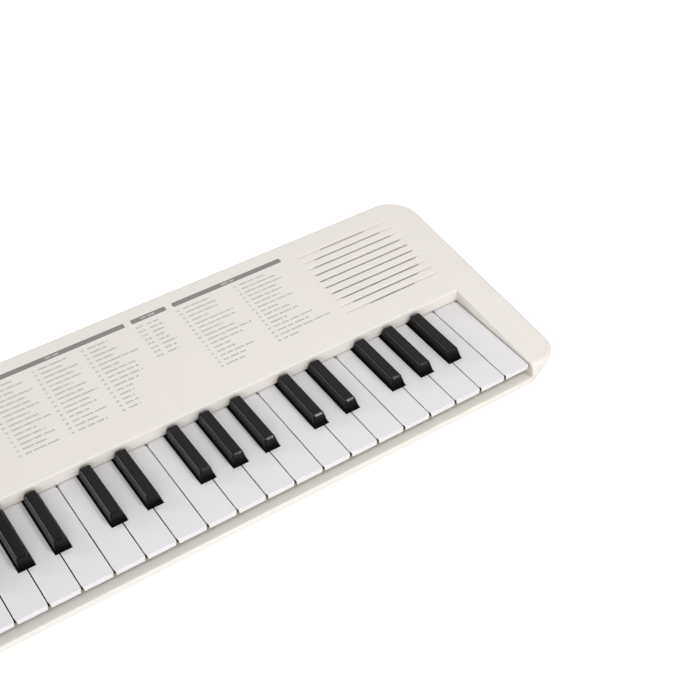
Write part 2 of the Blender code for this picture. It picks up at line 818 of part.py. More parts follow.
def upper_case(material):
    """Model the upper shell: panel, fascia, cheeks, front rail and outer wall."""
    case_top = panel_z(REAR_Y) + PAST

    def outer(bm):
        rings = [[Vector((x, y, SPLIT_Z)) for x, y in case_outline(0)]]
        for i in range(EDGE_STEPS + 1):
            turn = math.radians(90 * i / EDGE_STEPS)
            inset = EDGE_RADIUS * (1 - math.cos(turn))
            drop = EDGE_RADIUS * (1 - math.sin(turn))
            rings.append([Vector((x, y, panel_z(y) - drop)) for x, y in rim_outline(inset)])
        add_loft(bm, rings)

    def hollow(bm):
        add_loft(bm, [
            [Vector((x, y, SPLIT_Z - PAST)) for x, y in case_outline(WALL)],
            [Vector((x, y, SPLIT_Z)) for x, y in case_outline(WALL)],
            [Vector((x, y, panel_z(y) - WALL)) for x, y in rim_outline(WALL)],
        ])

    def kept(bm):
        side = WELL_HALF + WELL_WALL
        add_box(bm, (-side, FRONT_Y - PAST, RAIL_TOP_Z - WALL), (side, FASCIA_Y + WELL_WALL, case_top))

    def well(bm):
        add_box(bm, (-WELL_HALF, FRONT_Y - PAST, RAIL_TOP_Z), (WELL_HALF, FASCIA_Y, case_top))

    def passage(bm):
        add_box(bm, (-WELL_HALF, KEY_FRONT_Y + RAIL_REACH, SPLIT_Z - PAST),
                (WELL_HALF, FASCIA_Y + WELL_WALL + PAST, KEY_TOP_Z + FASCIA_GAP))

    def bosses(bm):
        for x, y in boss_places():
            add_cylinder(bm, (x, y), BOSS_RADIUS, SPLIT_Z, panel_z(y) - WALL / 2, 10)

    def boss_bores(bm):
        for x, y in boss_places():
            add_cylinder(bm, (x, y), SCREW_RADIUS, SPLIT_Z - PAST, SPLIT_Z + BOSS_BORE, 8)

    def sockets(bm):
        for x, _ in socket_places():
            hole = circle((x, SOCKET_Z), SOCKET_HOLE, SOCKET_STEPS)
            ends = (REAR_Y + PAST, REAR_Y - WALL - PAST)
            add_loft(bm, [[Vector((px, y, pz)) for px, pz in hole] for y in ends])

    item = solid("upper_case", outer)
    inside = solid("inside", hollow)
    cut(inside, kept)
    combine(item, inside, "DIFFERENCE")
    cut(item, well)
    cut(item, passage)
    join(item, bosses)
    cut(item, boss_bores)
    cut(item, sockets)
    cut(item, add_grooves, panel_frame(SPEAKER_X, 0))
    cut(item, add_slots, panel_frame(SPEAKER_X, 0))
    for x, row, length, width in control_openings():
        cut(item, lambda bm: control_hole(bm, length, width), panel_frame(x, row))
    cut(item, lambda bm: add_cylinder(bm, (0, 0), SHAFT_RADIUS + CONTROL_GAP, -WALL - PAST, PAST),
        panel_frame(panel_x(KNOB_X), BUTTON_ROW))
    cut(item, window_seat, panel_frame(panel_x(WINDOW_X), UPPER_ROW))
    return dress(item, "upper_case", material)


def window_seat(bm):
    """Add the shallow recess that the display window lies in."""
    side = WINDOW_SPAN / 2 + CONTROL_GAP
    reach = WINDOW_HEIGHT / 2 + CONTROL_GAP
    add_box(bm, (-side, -reach, -WINDOW_THICK - TOUCH_GAP), (side, reach, PAST))


def tapered_rings(inset, low, high):
    """Return the lower shell's outline at its floor and at its rim, drawn in by a distance."""
    rise = SPLIT_Z - FOOT_HEIGHT
    rings = []
    for z in (low, high):
        share = (SPLIT_Z - z) / rise
        taper = SHADOW_GAP + (TAPER_INSET - SHADOW_GAP) * share
        outline = case_outline(taper + inset, setback=TAPER_FRONT * share)
        rings.append([Vector((x, y, z)) for x, y in outline])
    return rings


def lower_case(material):
    """Model the lower shell: tapered tub, battery bay, bosses and board supports."""
    rim_z = SPLIT_Z - TOUCH_GAP

    def outer(bm):
        add_loft(bm, tapered_rings(0, FOOT_HEIGHT, rim_z))

    def hollow(bm):
        add_loft(bm, tapered_rings(WALL, FLOOR_TOP_Z, SPLIT_Z))

    def bay_block(bm):
        side = BAY_LENGTH / 2 + BAY_WALL
        add_box(bm, (-side, BAY_Y - BAY_WALL, FOOT_HEIGHT + WALL / 2),
                (side, BAY_END_Y + BAY_WALL, FLOOR_TOP_Z + BAY_HEIGHT + BAY_WALL))

    def bay(bm):
        add_box(bm, (-BAY_LENGTH / 2, BAY_Y, FLOOR_TOP_Z),
                (BAY_LENGTH / 2, BAY_END_Y, FLOOR_TOP_Z + BAY_HEIGHT))

    def bay_mouth(bm):
        add_box(bm, (-BAY_LENGTH / 2, BAY_Y + COVER_LEDGE, 0),
                (BAY_LENGTH / 2, BAY_END_Y - COVER_LEDGE, FLOOR_TOP_Z + PAST))

    def posts(bm):
        for x, y in boss_places():
            add_cylinder(bm, (x, y), BOSS_RADIUS, FOOT_HEIGHT + WALL / 2, rim_z, 10)

    def supports(bm):
        for step in (-2, -1, 0, 1, 2):
            x = step * (WELL_HALF - SUPPORT_FROM_END) / 2
            add_box(bm, (x - WALL / 2, ACTUATOR_Y - BOARD_WIDTH / 2, FOOT_HEIGHT + WALL / 2),
                    (x + WALL / 2, ACTUATOR_Y + BOARD_WIDTH / 2, BOARD_TOP_Z - BOARD_THICK - TOUCH_GAP))

    def screw_holes(bm):
        for x, y in boss_places():
            rings = []
            for radius, z in (
                (SCREW_HEAD_RADIUS, 0),
                (SCREW_HEAD_RADIUS, FOOT_HEIGHT + SCREW_HEAD_DEPTH),
                (SCREW_RADIUS, FOOT_HEIGHT + SCREW_HEAD_DEPTH),
                (SCREW_RADIUS, SPLIT_Z + PAST),
            ):
                rings.append([Vector((px, py, z)) for px, py in circle((x, y), radius, 12)])
            add_loft(bm, rings)

    item = solid("lower_case", outer)
    cut(item, hollow)
    join(item, bay_block)
    cut(item, bay)
    cut(item, bay_mouth)
    join(item, posts)
    join(item, supports)
    cut(item, screw_holes)
    return dress(item, "lower_case", material)


def battery_cover(material):
    """Model the cover of the battery bay, hinged on the two tabs of its front edge."""
    side = BAY_LENGTH / 2 - COVER_GAP
    front = BAY_Y + COVER_LEDGE + COVER_GAP
    rear = BAY_END_Y - COVER_LEDGE - COVER_GAP

    def plate(bm):
        add_box(bm, (-side, front, FOOT_HEIGHT), (side, rear, FOOT_HEIGHT + COVER_THICK))

    def tabs(bm):
        z = FLOOR_TOP_Z + TOUCH_GAP
        tip = front + TAB_ROOT - TAB_LENGTH
        for sign in (-1, 1):
            x = sign * TAB_SPACING / 2
            profile = [
                (front + TAB_THICK / 2, FOOT_HEIGHT + COVER_THICK / 2),
                (front + TAB_ROOT, FOOT_HEIGHT + COVER_THICK / 2),
                (front + TAB_ROOT, z + TAB_THICK),
                (tip, z + TAB_THICK),
                (tip, z),
                (front + TAB_THICK / 2, z),
            ]
            add_bar(bm, profile, x - TAB_WIDTH / 2, x + TAB_WIDTH / 2)

    item = solid("battery_cover", plate)
    join(item, tabs)
    set_origin(item, (0, front, FOOT_HEIGHT))
    return dress(item, "battery_cover", material)


def feet(material):
    """Set the four rubber feet under the corners of the lower shell."""
    places = {
        "foot_front_left": (-1, FRONT_Y + FOOT_FROM_FRONT),
        "foot_front_right": (1, FRONT_Y + FOOT_FROM_FRONT),
        "foot_rear_left": (-1, REAR_Y - FOOT_FROM_REAR),
        "foot_rear_right": (1, REAR_Y - FOOT_FROM_REAR),
    }
    for name, (sign, y) in places.items():
        center = (sign * (BODY_HALF - FOOT_FROM_SIDE), y)

        def pad(bm):
            rings = []
            for radius, z in ((FOOT_RADIUS - FOOT_DRAFT, 0.0), (FOOT_RADIUS, FOOT_HEIGHT - TOUCH_GAP)):
                rings.append([Vector((x, y, z)) for x, y in circle(center, radius, 16)])
            add_loft(bm, rings)

        dress(solid(name, pad), name, material, smooth=True)


def speaker(frame_finish, cone_finish):
    """Model the loudspeaker under the grille: basket with magnet, and paper cone."""
    rows = grille_rows()
    place = panel_frame(SPEAKER_X, (rows[0] + rows[-1]) / 2) @ Matrix.Translation((0, 0, -WALL - TOUCH_GAP))
    basket = [
        (0.0, -SPEAKER_DEPTH),
        (MAGNET_RADIUS, -SPEAKER_DEPTH),
        (MAGNET_RADIUS, MAGNET_DEPTH - SPEAKER_DEPTH),
        (SPEAKER_RADIUS - BASKET_SLOPE, -BASKET_SHEET),
        (SPEAKER_RADIUS, -BASKET_SHEET),
        (SPEAKER_RADIUS, 0.0),
        (CONE_RADIUS + TOUCH_GAP, 0.0),
        (CONE_RADIUS + TOUCH_GAP, -BASKET_SHEET),
        (VOICE_RADIUS, -VOICE_DEPTH),
        (0.0, -VOICE_DEPTH),
    ]
    frame = solid("speaker_frame", lambda bm: add_turned(bm, basket, SPEAKER_STEPS))
    frame.matrix_world = place
    dress(frame, "speaker_frame", frame_finish, smooth=True)
    under_side = [
        (0.0, -CONE_MIDDLE - CONE_TOP),
        (CAP_RING, -CONE_DEPTH - CONE_TOP),
        (CONE_RADIUS - CONE_EDGE, -CONE_TOP - CONE_THICK),
        (CONE_RADIUS, -CONE_TOP - CONE_THICK),
    ]
    upper_side = [(radius, z + CONE_THICK) for radius, z in reversed(under_side)]
    paper_cone = solid("speaker_cone", lambda bm: add_turned(bm, under_side + upper_side, SPEAKER_STEPS))
    paper_cone.matrix_world = place
    dress(paper_cone, "speaker_cone", cone_finish, smooth=True)


def tact_top():
    """Return how far under the panel's face the switches on the main board end."""
    return TACT_HEIGHT - MAIN_BOARD_DROP


def buttons(material):
    """Model the push buttons, each with a flange under the panel and a stem to its switch."""
    for name, x, length, width in BUTTONS:
        def shape(bm):
            side, reach = length / 2, width / 2
            under = -WALL - TOUCH_GAP
            stem = TACT_SIZE / 3
            steps = (
                (stem, stem, tact_top() + BUTTON_TRAVEL + TOUCH_GAP),
                (stem, stem, under - FLANGE_SHEET),
                (side + BUTTON_FLANGE, reach + BUTTON_FLANGE, under - FLANGE_SHEET),
                (side + BUTTON_FLANGE, reach + BUTTON_FLANGE, under),
                (side, reach, under),
                (side, reach, BUTTON_RISE - CAP_EDGE),
                (side - CAP_EDGE, reach - CAP_EDGE, BUTTON_RISE),
            )
            rings = [[Vector((dx * across, dy * up, z)) for dx, dy in SQUARE] for across, up, z in steps]
            add_loft(bm, rings)

        item = solid(name, shape)
        item.matrix_world = panel_frame(panel_x(x), BUTTON_ROW)
        dress(item, name, material)


def value_rocker(material):
    """Model the rocking plus and minus button, which tips about its middle."""
    half = ROCKER_LENGTH / 2
    reach = ROCKER_WIDTH / 2
    swing = math.tan(ROCKER_SWING)
    stem = TACT_SIZE / 4
    stem_x = half - TACT_SIZE / 2
    stem_z = tact_top() + swing * (stem_x + stem) + TOUCH_GAP

    def cap(bm):
        profile = [
            (-half, -WALL),
            (half, -WALL),
            (half, BUTTON_RISE - CAP_EDGE),
            (half - CAP_EDGE, BUTTON_RISE),
            (0, BUTTON_RISE - ROCKER_DIP),
            (CAP_EDGE - half, BUTTON_RISE),
            (-half, BUTTON_RISE - CAP_EDGE),
        ]
        add_loft(bm, [[Vector((x, y, z)) for x, z in profile] for y in (reach, -reach)])

    def stems(bm):
        for sign in (-1, 1):
            x = sign * stem_x
            add_box(bm, (x - stem, -stem, stem_z), (x + stem, stem, -WALL / 2))
        axle = AXLE_SIZE / 2
        add_box(bm, (-axle, -axle, TOUCH_GAP - MAIN_BOARD_DROP), (axle, axle, -WALL / 2))

    item = solid("value_rocker", cap)
    join(item, stems)
    item.matrix_world = panel_frame(panel_x(ROCKER_X), UPPER_ROW)
    return dress(item, "value_rocker", material)


def volume_knob(material):
    """Model the turned volume knob with its flat-sided pointer rib and its shaft."""
    shaft_end = POT_HEIGHT + TOUCH_GAP - MAIN_BOARD_DROP
    profile = [
        (0.0, shaft_end),
        (SHAFT_RADIUS, shaft_end),
        (SHAFT_RADIUS, TOUCH_GAP),
        (KNOB_RADIUS, TOUCH_GAP),
        (KNOB_RADIUS - KNOB_DRAFT, KNOB_RISE - KNOB_EDGE),
        (KNOB_RADIUS - KNOB_DRAFT - KNOB_EDGE, KNOB_RISE - POINTER_RISE),
        (0.0, KNOB_RISE - POINTER_RISE),
    ]

    def pointer(bm):
        side = POINTER_WIDTH / 2
        tip = KNOB_RADIUS - 2 * KNOB_EDGE
        add_box(bm, (-side, tip - POINTER_LENGTH, KNOB_RISE - KNOB_EDGE), (side, tip, KNOB_RISE))

    item = solid("volume_knob", lambda bm: add_turned(bm, profile, KNOB_STEPS))
    join(item, pointer)
    item.matrix_world = panel_frame(panel_x(KNOB_X), BUTTON_ROW)
    return dress(item, "volume_knob", material, smooth=True)


def power_switch(material):
    """Model the sliding power switch, drawn at OFF on the left."""
    reach = SWITCH_WIDTH / 2
    side = SWITCH_LENGTH / 2
    under = -WALL - TOUCH_GAP

    def knob(bm):
        add_box(bm, (-side, -reach, under - FLANGE_SHEET / 2), (side, reach, SWITCH_RISE))

    def flange(bm):
        add_box(bm, (-side - BUTTON_FLANGE, -reach - BUTTON_FLANGE, under - FLANGE_SHEET),
                (side + BUTTON_FLANGE, reach + BUTTON_FLANGE, under))

    item = solid("power_switch", knob)
    join(item, flange)
    item.matrix_world = panel_frame(panel_x(SWITCH_X), UPPER_ROW)
    return dress(item, "power_switch", material)


def display_window(material):
    """Model the clear window that lies in its seat, level with the panel."""
    low = (-WINDOW_SPAN / 2, -WINDOW_HEIGHT / 2, -WINDOW_THICK)
    high = (WINDOW_SPAN / 2, WINDOW_HEIGHT / 2, 0.0)
    item = solid("display_window", lambda bm: add_box(bm, low, high))
    item.matrix_world = panel_frame(panel_x(WINDOW_X), UPPER_ROW)
    return dress(item, "display_window", material)


def main_board(material):
    """Model the main circuit board with its switches, volume control and digit block."""
    left = panel_x(SWITCH_X) - MAIN_BOARD_MARGIN
    right = panel_x(ROCKER_X) + MAIN_BOARD_MARGIN
    low = BUTTON_ROW - MAIN_BOARD_MARGIN
    high = UPPER_ROW + MAIN_BOARD_MARGIN
    top = -MAIN_BOARD_DROP
    half = TACT_SIZE / 2
    reach = ROCKER_LENGTH / 2 - half

    def sheet(bm):
        add_box(bm, (left, low, top - BOARD_THICK), (right, high, top))

    def block(bm, x, row, side, deep, end):
        add_box(bm, (x - side, row - deep, top - BOARD_THICK / 2), (x + side, row + deep, end))

    def fittings(bm):
        for _, x, _, _ in BUTTONS:
            block(bm, panel_x(x), BUTTON_ROW, half, half, tact_top())
        block(bm, panel_x(ROCKER_X) - reach, UPPER_ROW, half, half, tact_top())
        block(bm, panel_x(ROCKER_X) + reach, UPPER_ROW, half, half, tact_top())
        block(bm, panel_x(SWITCH_X), UPPER_ROW, 2 * half, half, -WALL - FLANGE_SHEET - 2 * TOUCH_GAP)
        side = WINDOW_SPAN / 2 - 2 * WINDOW_LEDGE
        deep = WINDOW_HEIGHT / 2 - 2 * WINDOW_LEDGE
        block(bm, panel_x(WINDOW_X), UPPER_ROW, side, deep, -WALL - TOUCH_GAP)
        add_cylinder(bm, (panel_x(KNOB_X), BUTTON_ROW), POT_RADIUS, top - BOARD_THICK / 2, top + POT_HEIGHT)

    item = solid("main_board", sheet)
    join(item, fittings)
    item.matrix_world = panel_frame(0, 0)
    return dress(item, "main_board", material)


def socket_places():
    """Return the X and bore radius of the power inlet and the headphone socket."""
    left = panel_x(SOCKET_X)
    return ((left, DC_RADIUS), (left + SOCKET_SPACING, PHONES_RADIUS))


def socket_block(material):
    """Model the block behind the rear wall that holds the two sockets."""
    middle = panel_x(SOCKET_X) + SOCKET_SPACING / 2
    rear = REAR_Y - WALL - TOUCH_GAP

    def body(bm):
        add_box(bm, (middle - SOCKET_LENGTH / 2, rear - SOCKET_BODY, SOCKET_Z - SOCKET_HEIGHT / 2),
                (middle + SOCKET_LENGTH / 2, rear, SOCKET_Z + SOCKET_HEIGHT / 2))

    def bores(bm):
        for x, radius in socket_places():
            hole = circle((x, SOCKET_Z), radius, SOCKET_STEPS)
            ends = (rear + PAST, rear - SOCKET_DEPTH)
            add_loft(bm, [[Vector((px, y, pz)) for px, pz in hole] for y in ends])

    item = solid("socket_block", body)
    cut(item, bores)
    return dress(item, "socket_block", material)


def main():
    """Build the whole keyboard."""
    clear_scene()
    ivory = finish("ivory ABS", (0.80, 0.78, 0.73), 0.45)
    white_key_plastic = finish("white key plastic", (0.86, 0.86, 0.85), 0.22)
    black_key_plastic = finish("black key plastic", (0.012, 0.012, 0.013), 0.25)
    grey_plastic = finish("grey plastic", (0.25, 0.25, 0.26), 0.4)
    button_plastic = finish("button plastic", (0.45, 0.45, 0.46), 0.4)
    rubber = finish("black rubber", (0.02, 0.02, 0.02), 0.8)
    felt = finish("red felt", (0.35, 0.03, 0.03), 0.95)
    board = finish("green circuit board", (0.03, 0.18, 0.06), 0.5)
    steel = finish("pressed steel", (0.45, 0.45, 0.46), 0.35, 1.0)
    paper = finish("black paper cone", (0.02, 0.02, 0.02), 0.9)
    smoked = finish("smoked acrylic", (0.02, 0.01, 0.01), 0.05)
    keys(white_key_plastic, black_key_plastic)
    key_frame(grey_plastic)
    stop_felt(felt)
    contact_strip(rubber)
    contact_board(board)
    upper_case(ivory)
    lower_case(ivory)
    battery_cover(ivory)
    feet(rubber)
    speaker(steel, paper)
    buttons(button_plastic)
    value_rocker(button_plastic)
    volume_knob(button_plastic)
    power_switch(grey_plastic)
    display_window(smoked)
    main_board(board)
    socket_block(grey_plastic)


main()
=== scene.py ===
"""Looks of a table-top mini keyboard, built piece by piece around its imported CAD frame.

Lengths are metres in the CAD's own frame: +X towards the high notes, +Y from the player
to the rear, +Z up, with the origin on the table under the middle of the case.
"""

import math
import random

import bmesh
import bpy
from mathutils import Matrix, Vector


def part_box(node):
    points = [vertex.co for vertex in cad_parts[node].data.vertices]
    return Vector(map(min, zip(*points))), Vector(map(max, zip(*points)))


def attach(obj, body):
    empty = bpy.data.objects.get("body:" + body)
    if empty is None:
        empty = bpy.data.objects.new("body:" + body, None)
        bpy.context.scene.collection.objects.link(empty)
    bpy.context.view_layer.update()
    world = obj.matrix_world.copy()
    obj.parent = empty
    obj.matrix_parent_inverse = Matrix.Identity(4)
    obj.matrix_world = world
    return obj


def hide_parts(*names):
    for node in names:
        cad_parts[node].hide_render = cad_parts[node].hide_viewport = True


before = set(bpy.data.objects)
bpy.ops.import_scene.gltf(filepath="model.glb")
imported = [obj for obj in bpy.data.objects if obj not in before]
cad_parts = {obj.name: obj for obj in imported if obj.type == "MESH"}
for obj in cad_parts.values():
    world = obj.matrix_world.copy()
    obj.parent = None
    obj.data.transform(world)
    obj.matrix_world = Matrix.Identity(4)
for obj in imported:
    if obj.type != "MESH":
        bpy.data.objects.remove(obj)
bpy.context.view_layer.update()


# Camera
# The photograph's view: a long lens at the player's left, high over the low notes.
# Its place and its turns were fitted to the joints between the keys.
VIEW_PLACE = (-0.21842, -0.56871, 0.63218)
VIEW_AZIMUTH = -0.5639
VIEW_ELEVATION = 0.7363
VIEW_ROLL = -0.0319
VIEW_LENS = 67.27
VIEW_SENSOR = 36

across = Vector((math.cos(VIEW_AZIMUTH), math.sin(VIEW_AZIMUTH), 0))
away = Vector((
    math.sin(VIEW_AZIMUTH) * math.cos(VIEW_ELEVATION),
    -math.cos(VIEW_AZIMUTH) * math.cos(VIEW_ELEVATION),
    math.sin(VIEW_ELEVATION),
))
level = Matrix((across, away.cross(across), away)).transposed()
turn = level @ Matrix.Rotation(VIEW_ROLL, 3, "Z")
bpy.ops.object.camera_add(location=VIEW_PLACE, rotation=turn.to_euler())
camera = bpy.context.object
camera.data.lens = VIEW_LENS
camera.data.sensor_width = VIEW_SENSOR
camera.data.clip_start = 0.01
bpy.context.scene.camera = camera


# Lower case
# A tub of ivory ABS, injection moulded with a fine spark-eroded grain. Its walls draw in
# towards the table, so that from above only the upper case shows.
WALL = 0.0022
CORNER_RADIUS = 0.0235
FRONT_RADIUS = 0.031
CORNER_STEPS = 14
TUB_TAPER = 0.0129
TUB_FRONT_TAPER = 0.0035
TUB_EDGE = 0.0012
TUB_LIP = 0.0004
BAY_SIDE = 0.058
BAY_FRONT = 0.0260
BAY_REAR = 0.0760
BAY_WALL = 0.0016
BAY_CEILING = 0.0222
LEDGE = 0.003
POST_RADIUS = 0.0034
POST_PLACES = ((0.2320, -0.0640), (0.2320, 0.0282), (0.0682, 0.0740))
SCREW_RADIUS = 0.0015
SCREW_SEAT_RADIUS = 0.0029
SCREW_SEAT_DEPTH = 0.0016
IVORY = "#E7E2DB"
IVORY_ROUGHNESS = 0.42
IVORY_GRAIN_MM = 0.7
IVORY_GRAIN_DEPTH_MM = 0.012
FLOW_MM = 45
FLOW_SHADE = 0.97
FLOW_DULL = 0.05
NEAR = 0.0001
TINY = 0.00001


def start_block(name, low, high):
    """Add a cube between two corners, as the start of a piece."""
    low, high = Vector(low), Vector(high)
    bpy.ops.object.select_all(action="DESELECT")
    bpy.ops.mesh.primitive_cube_add(size=1, location=(low + high) / 2, scale=high - low)
    bpy.ops.object.transform_apply(location=True, rotation=True, scale=True)
    bpy.context.object.name = name
    return bpy.context.object


def start_rod(name, center, radius, length, axis, steps=48):
    """Add a cylinder along an axis, as the start of a round piece."""
    turns = {"X": (0, math.pi / 2, 0), "Y": (math.pi / 2, 0, 0), "Z": (0, 0, 0)}
    bpy.ops.object.select_all(action="DESELECT")
    bpy.ops.mesh.primitive_cylinder_add(vertices=steps, radius=radius, depth=length, location=center,
                                        rotation=turns[axis])
    bpy.ops.object.transform_apply(location=True, rotation=True, scale=True)
    bpy.context.object.name = name
    return bpy.context.object


def start_disc(name, center, radius, low, high, steps=48):
    """Add an upright cylinder between two heights."""
    return start_rod(name, (center[0], center[1], (low + high) / 2), radius, high - low, "Z", steps)


def choose(item, kind, wanted):
    """Open a piece in edit mode with only the wanted vertices, edges or faces selected."""
    bpy.ops.object.select_all(action="DESELECT")
    item.select_set(True)
    bpy.context.view_layer.objects.active = item
    bpy.ops.object.mode_set(mode="EDIT")
    bpy.ops.mesh.select_mode(type=kind)
    bpy.ops.mesh.select_all(action="DESELECT")
    mesh = bmesh.from_edit_mesh(item.data)
    elements = {"VERT": mesh.verts, "EDGE": mesh.edges, "FACE": mesh.faces}[kind]
    for element in elements:
        if wanted(element):
            element.select_set(True)
    bmesh.update_edit_mesh(item.data)


def close():
    """Leave edit mode."""
    bpy.ops.object.mode_set(mode="OBJECT")


def move(item, wanted, offset):
    """Shift the wanted vertices of a piece."""
    choose(item, "VERT", wanted)
    bpy.ops.transform.translate(value=offset)
    close()


def is_upright(edge):
    """Say whether an edge stands straight up."""
    run = edge.verts[1].co - edge.verts[0].co
    return abs(run.z) > 0.99 * run.length


def round_edges(item, wanted, radius, steps):
    """Round the wanted edges of a piece."""
    choose(item, "EDGE", wanted)
    bpy.ops.mesh.bevel(offset=radius, offset_type="OFFSET", segments=steps, affect="EDGES")
    close()


def apply_modifier(item, kind, **settings):
    """Give a piece one modifier and apply it."""
    modifier = item.modifiers.new(kind.title(), kind)
    for name, value in settings.items():
        setattr(modifier, name, value)
    bpy.context.view_layer.objects.active = item
    bpy.ops.object.modifier_apply(modifier=modifier.name)


def cut_away(item, *tools):
    """Cut tools out of a piece and throw them away."""
    for tool in tools:
        apply_modifier(item, "BOOLEAN", operation="DIFFERENCE", object=tool)
        bpy.data.objects.remove(tool)


def fuse(item, *others):
    """Weld other shapes to a piece."""
    for other in others:
        apply_modifier(item, "BOOLEAN", operation="UNION", object=other)
        bpy.data.objects.remove(other)


def smooth(item, degrees=32):
    """Shade a piece smooth up to an angle, with its flat faces kept flat."""
    bpy.ops.object.select_all(action="DESELECT")
    item.select_set(True)
    bpy.context.view_layer.objects.active = item
    bpy.ops.object.shade_smooth_by_angle(angle=math.radians(degrees))
    apply_modifier(item, "WEIGHTED_NORMAL", keep_sharp=True, mode="FACE_AREA")


def fit(piece, material, body, node=None):
    """Give a finished piece its material and body, and hide the CAD node whose place it takes."""
    piece.data.materials.clear()
    piece.data.materials.append(material)
    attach(piece, body)
    if node:
        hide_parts(node)


def linear(color):
    """Turn an sRGB hex colour into the linear colour that shaders take."""
    parts = [int(color[i:i + 2], 16) / 255 for i in (1, 3, 5)]
    return (*[c / 12.92 if c <= 0.04045 else ((c + 0.055) / 1.055) ** 2.4 for c in parts], 1.0)


def add_node(tree, kind, inputs=None, **settings):
    """Add a node with its settings; each input takes a value or a link from a socket."""
    node = tree.nodes.new(kind)
    for name, value in settings.items():
        setattr(node, name, value)
    for socket, source in (inputs or {}).items():
        if isinstance(source, bpy.types.NodeSocket):
            tree.links.new(source, node.inputs[socket])
        else:
            node.inputs[socket].default_value = source
    return node


def start_material(name, color, roughness):
    """Make a material; return it with its tree, its shader and the place on the piece."""
    material = bpy.data.materials.new(name)
    material.use_nodes = True
    tree = material.node_tree
    shader = tree.nodes["Principled BSDF"]
    shader.inputs["Base Color"].default_value = linear(color)
    shader.inputs["Roughness"].default_value = roughness
    return material, tree, shader, tree.nodes.new("ShaderNodeTexCoord").outputs["Object"]


def noise(tree, place, size_mm, detail):
    """Add a noise with patches of about a size in millimetres."""
    inputs = {"Vector": place, "Scale": 1000 / size_mm, "Detail": detail}
    return add_node(tree, "ShaderNodeTexNoise", inputs).outputs["Fac"]


def vary(tree, shader, pattern, colors=None, roughness=None, relief=None):
    """Let a pattern vary the colour, the roughness and the relief, whichever are given."""
    if colors:
        tint = add_node(tree, "ShaderNodeMix", {0: pattern, 6: colors[0], 7: colors[1]}, data_type="RGBA")
        tree.links.new(tint.outputs[2], shader.inputs["Base Color"])
    if roughness:
        inputs = {"Value": pattern, "To Min": roughness[0], "To Max": roughness[1]}
        polish = add_node(tree, "ShaderNodeMapRange", inputs)
        tree.links.new(polish.outputs["Result"], shader.inputs["Roughness"])
    if relief:
        bump = add_node(tree, "ShaderNodeBump", {"Height": pattern, "Distance": relief})
        tree.links.new(bump.outputs["Normal"], shader.inputs["Normal"])


def shaded(color, factor):
    """Return a linear colour made lighter or darker by a factor."""
    return (*[c * factor for c in linear(color)[:3]], 1)


def moulded_plastic(name, color, roughness, grain_mm, depth_mm):
    """Injection-moulded plastic: an even colour with faint flow marks, and a fine mould grain."""
    material, tree, shader, place = start_material(name, color, roughness)
    vary(tree, shader, noise(tree, place, FLOW_MM, 3), (linear(color), shaded(color, FLOW_SHADE)),
         (roughness - FLOW_DULL, roughness + FLOW_DULL))
    vary(tree, shader, noise(tree, place, grain_mm, 4), relief=depth_mm / 1000)
    return material


# Ivory ABS: the grain of the mould takes the gloss off, so that lamps leave no sharp spot.
# The real grain is about 0.1 mm and is drawn coarser here, so that it can show at all.
ivory_abs = moulded_plastic("ivory ABS, moulded", IVORY, IVORY_ROUGHNESS, IVORY_GRAIN_MM,
                            IVORY_GRAIN_DEPTH_MM)

tub_low, tub_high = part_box("lower_case")


def round_corners(body, inset):
    """Round the upright corners of the case's outline, the front ones wider."""
    round_edges(body, lambda e: is_upright(e) and e.verts[0].co.y > 0, CORNER_RADIUS - inset, CORNER_STEPS)
    round_edges(body, lambda e: is_upright(e) and e.verts[0].co.y < 0, FRONT_RADIUS - inset, CORNER_STEPS)


def tub_shape(name, inset, floor):
    """Start the tapered tub, drawn in by a distance, down to a floor."""
    drop = tub_high.z - floor
    share = drop / (tub_high.z - tub_low.z)
    x, y = tub_high.x - inset, tub_high.y - inset
    body = start_block(name, (-x, -y, tub_high.z - TUB_LIP), (x, y, tub_high.z))
    round_corners(body, inset)
    choose(body, "FACE", lambda face: face.normal.z < -0.99)
    bpy.ops.mesh.inset(thickness=TUB_TAPER * share, use_even_offset=True)
    bpy.ops.transform.translate(value=(0, 0, TUB_LIP - drop))
    close()
    move(body, lambda vert: vert.co.z < floor + NEAR and vert.co.y < 0, (0, TUB_FRONT_TAPER * share, 0))
    return body


tub = tub_shape("lower_case_shell", 0, tub_low.z)
round_edges(tub, lambda edge: all(v.co.z < tub_low.z + NEAR for v in edge.verts), TUB_EDGE, 4)
hollow = tub_shape("tub hollow", WALL, tub_low.z + WALL)
move(hollow, lambda vert: vert.co.z > tub_high.z - NEAR, (0, 0, WALL))
cut_away(tub, hollow)
fuse(tub, start_block("bay", (-BAY_SIDE - BAY_WALL, BAY_FRONT - BAY_WALL, tub_low.z + WALL / 2),
                      (BAY_SIDE + BAY_WALL, BAY_REAR + BAY_WALL, BAY_CEILING + BAY_WALL)))
cut_away(
    tub,
    start_block("cells", (-BAY_SIDE, BAY_FRONT, tub_low.z + WALL), (BAY_SIDE, BAY_REAR, BAY_CEILING)),
    start_block("mouth", (-BAY_SIDE, BAY_FRONT + LEDGE, 0),
                (BAY_SIDE, BAY_REAR - LEDGE, tub_low.z + 2 * WALL)),
)
post_places = [(sign * x, y) for x, y in POST_PLACES for sign in (-1, 1)]
for place in post_places:
    fuse(tub, start_disc("post", place, POST_RADIUS, tub_low.z + WALL / 2, tub_high.z, 24))
for place in post_places:
    cut_away(
        tub,
        start_disc("screw seat", place, SCREW_SEAT_RADIUS, 0, tub_low.z + SCREW_SEAT_DEPTH, 32),
        start_disc("screw bore", place, SCREW_RADIUS, 0, tub_high.z + WALL, 16),
    )
smooth(tub)
fit(tub, ivory_abs, "case", "lower_case")


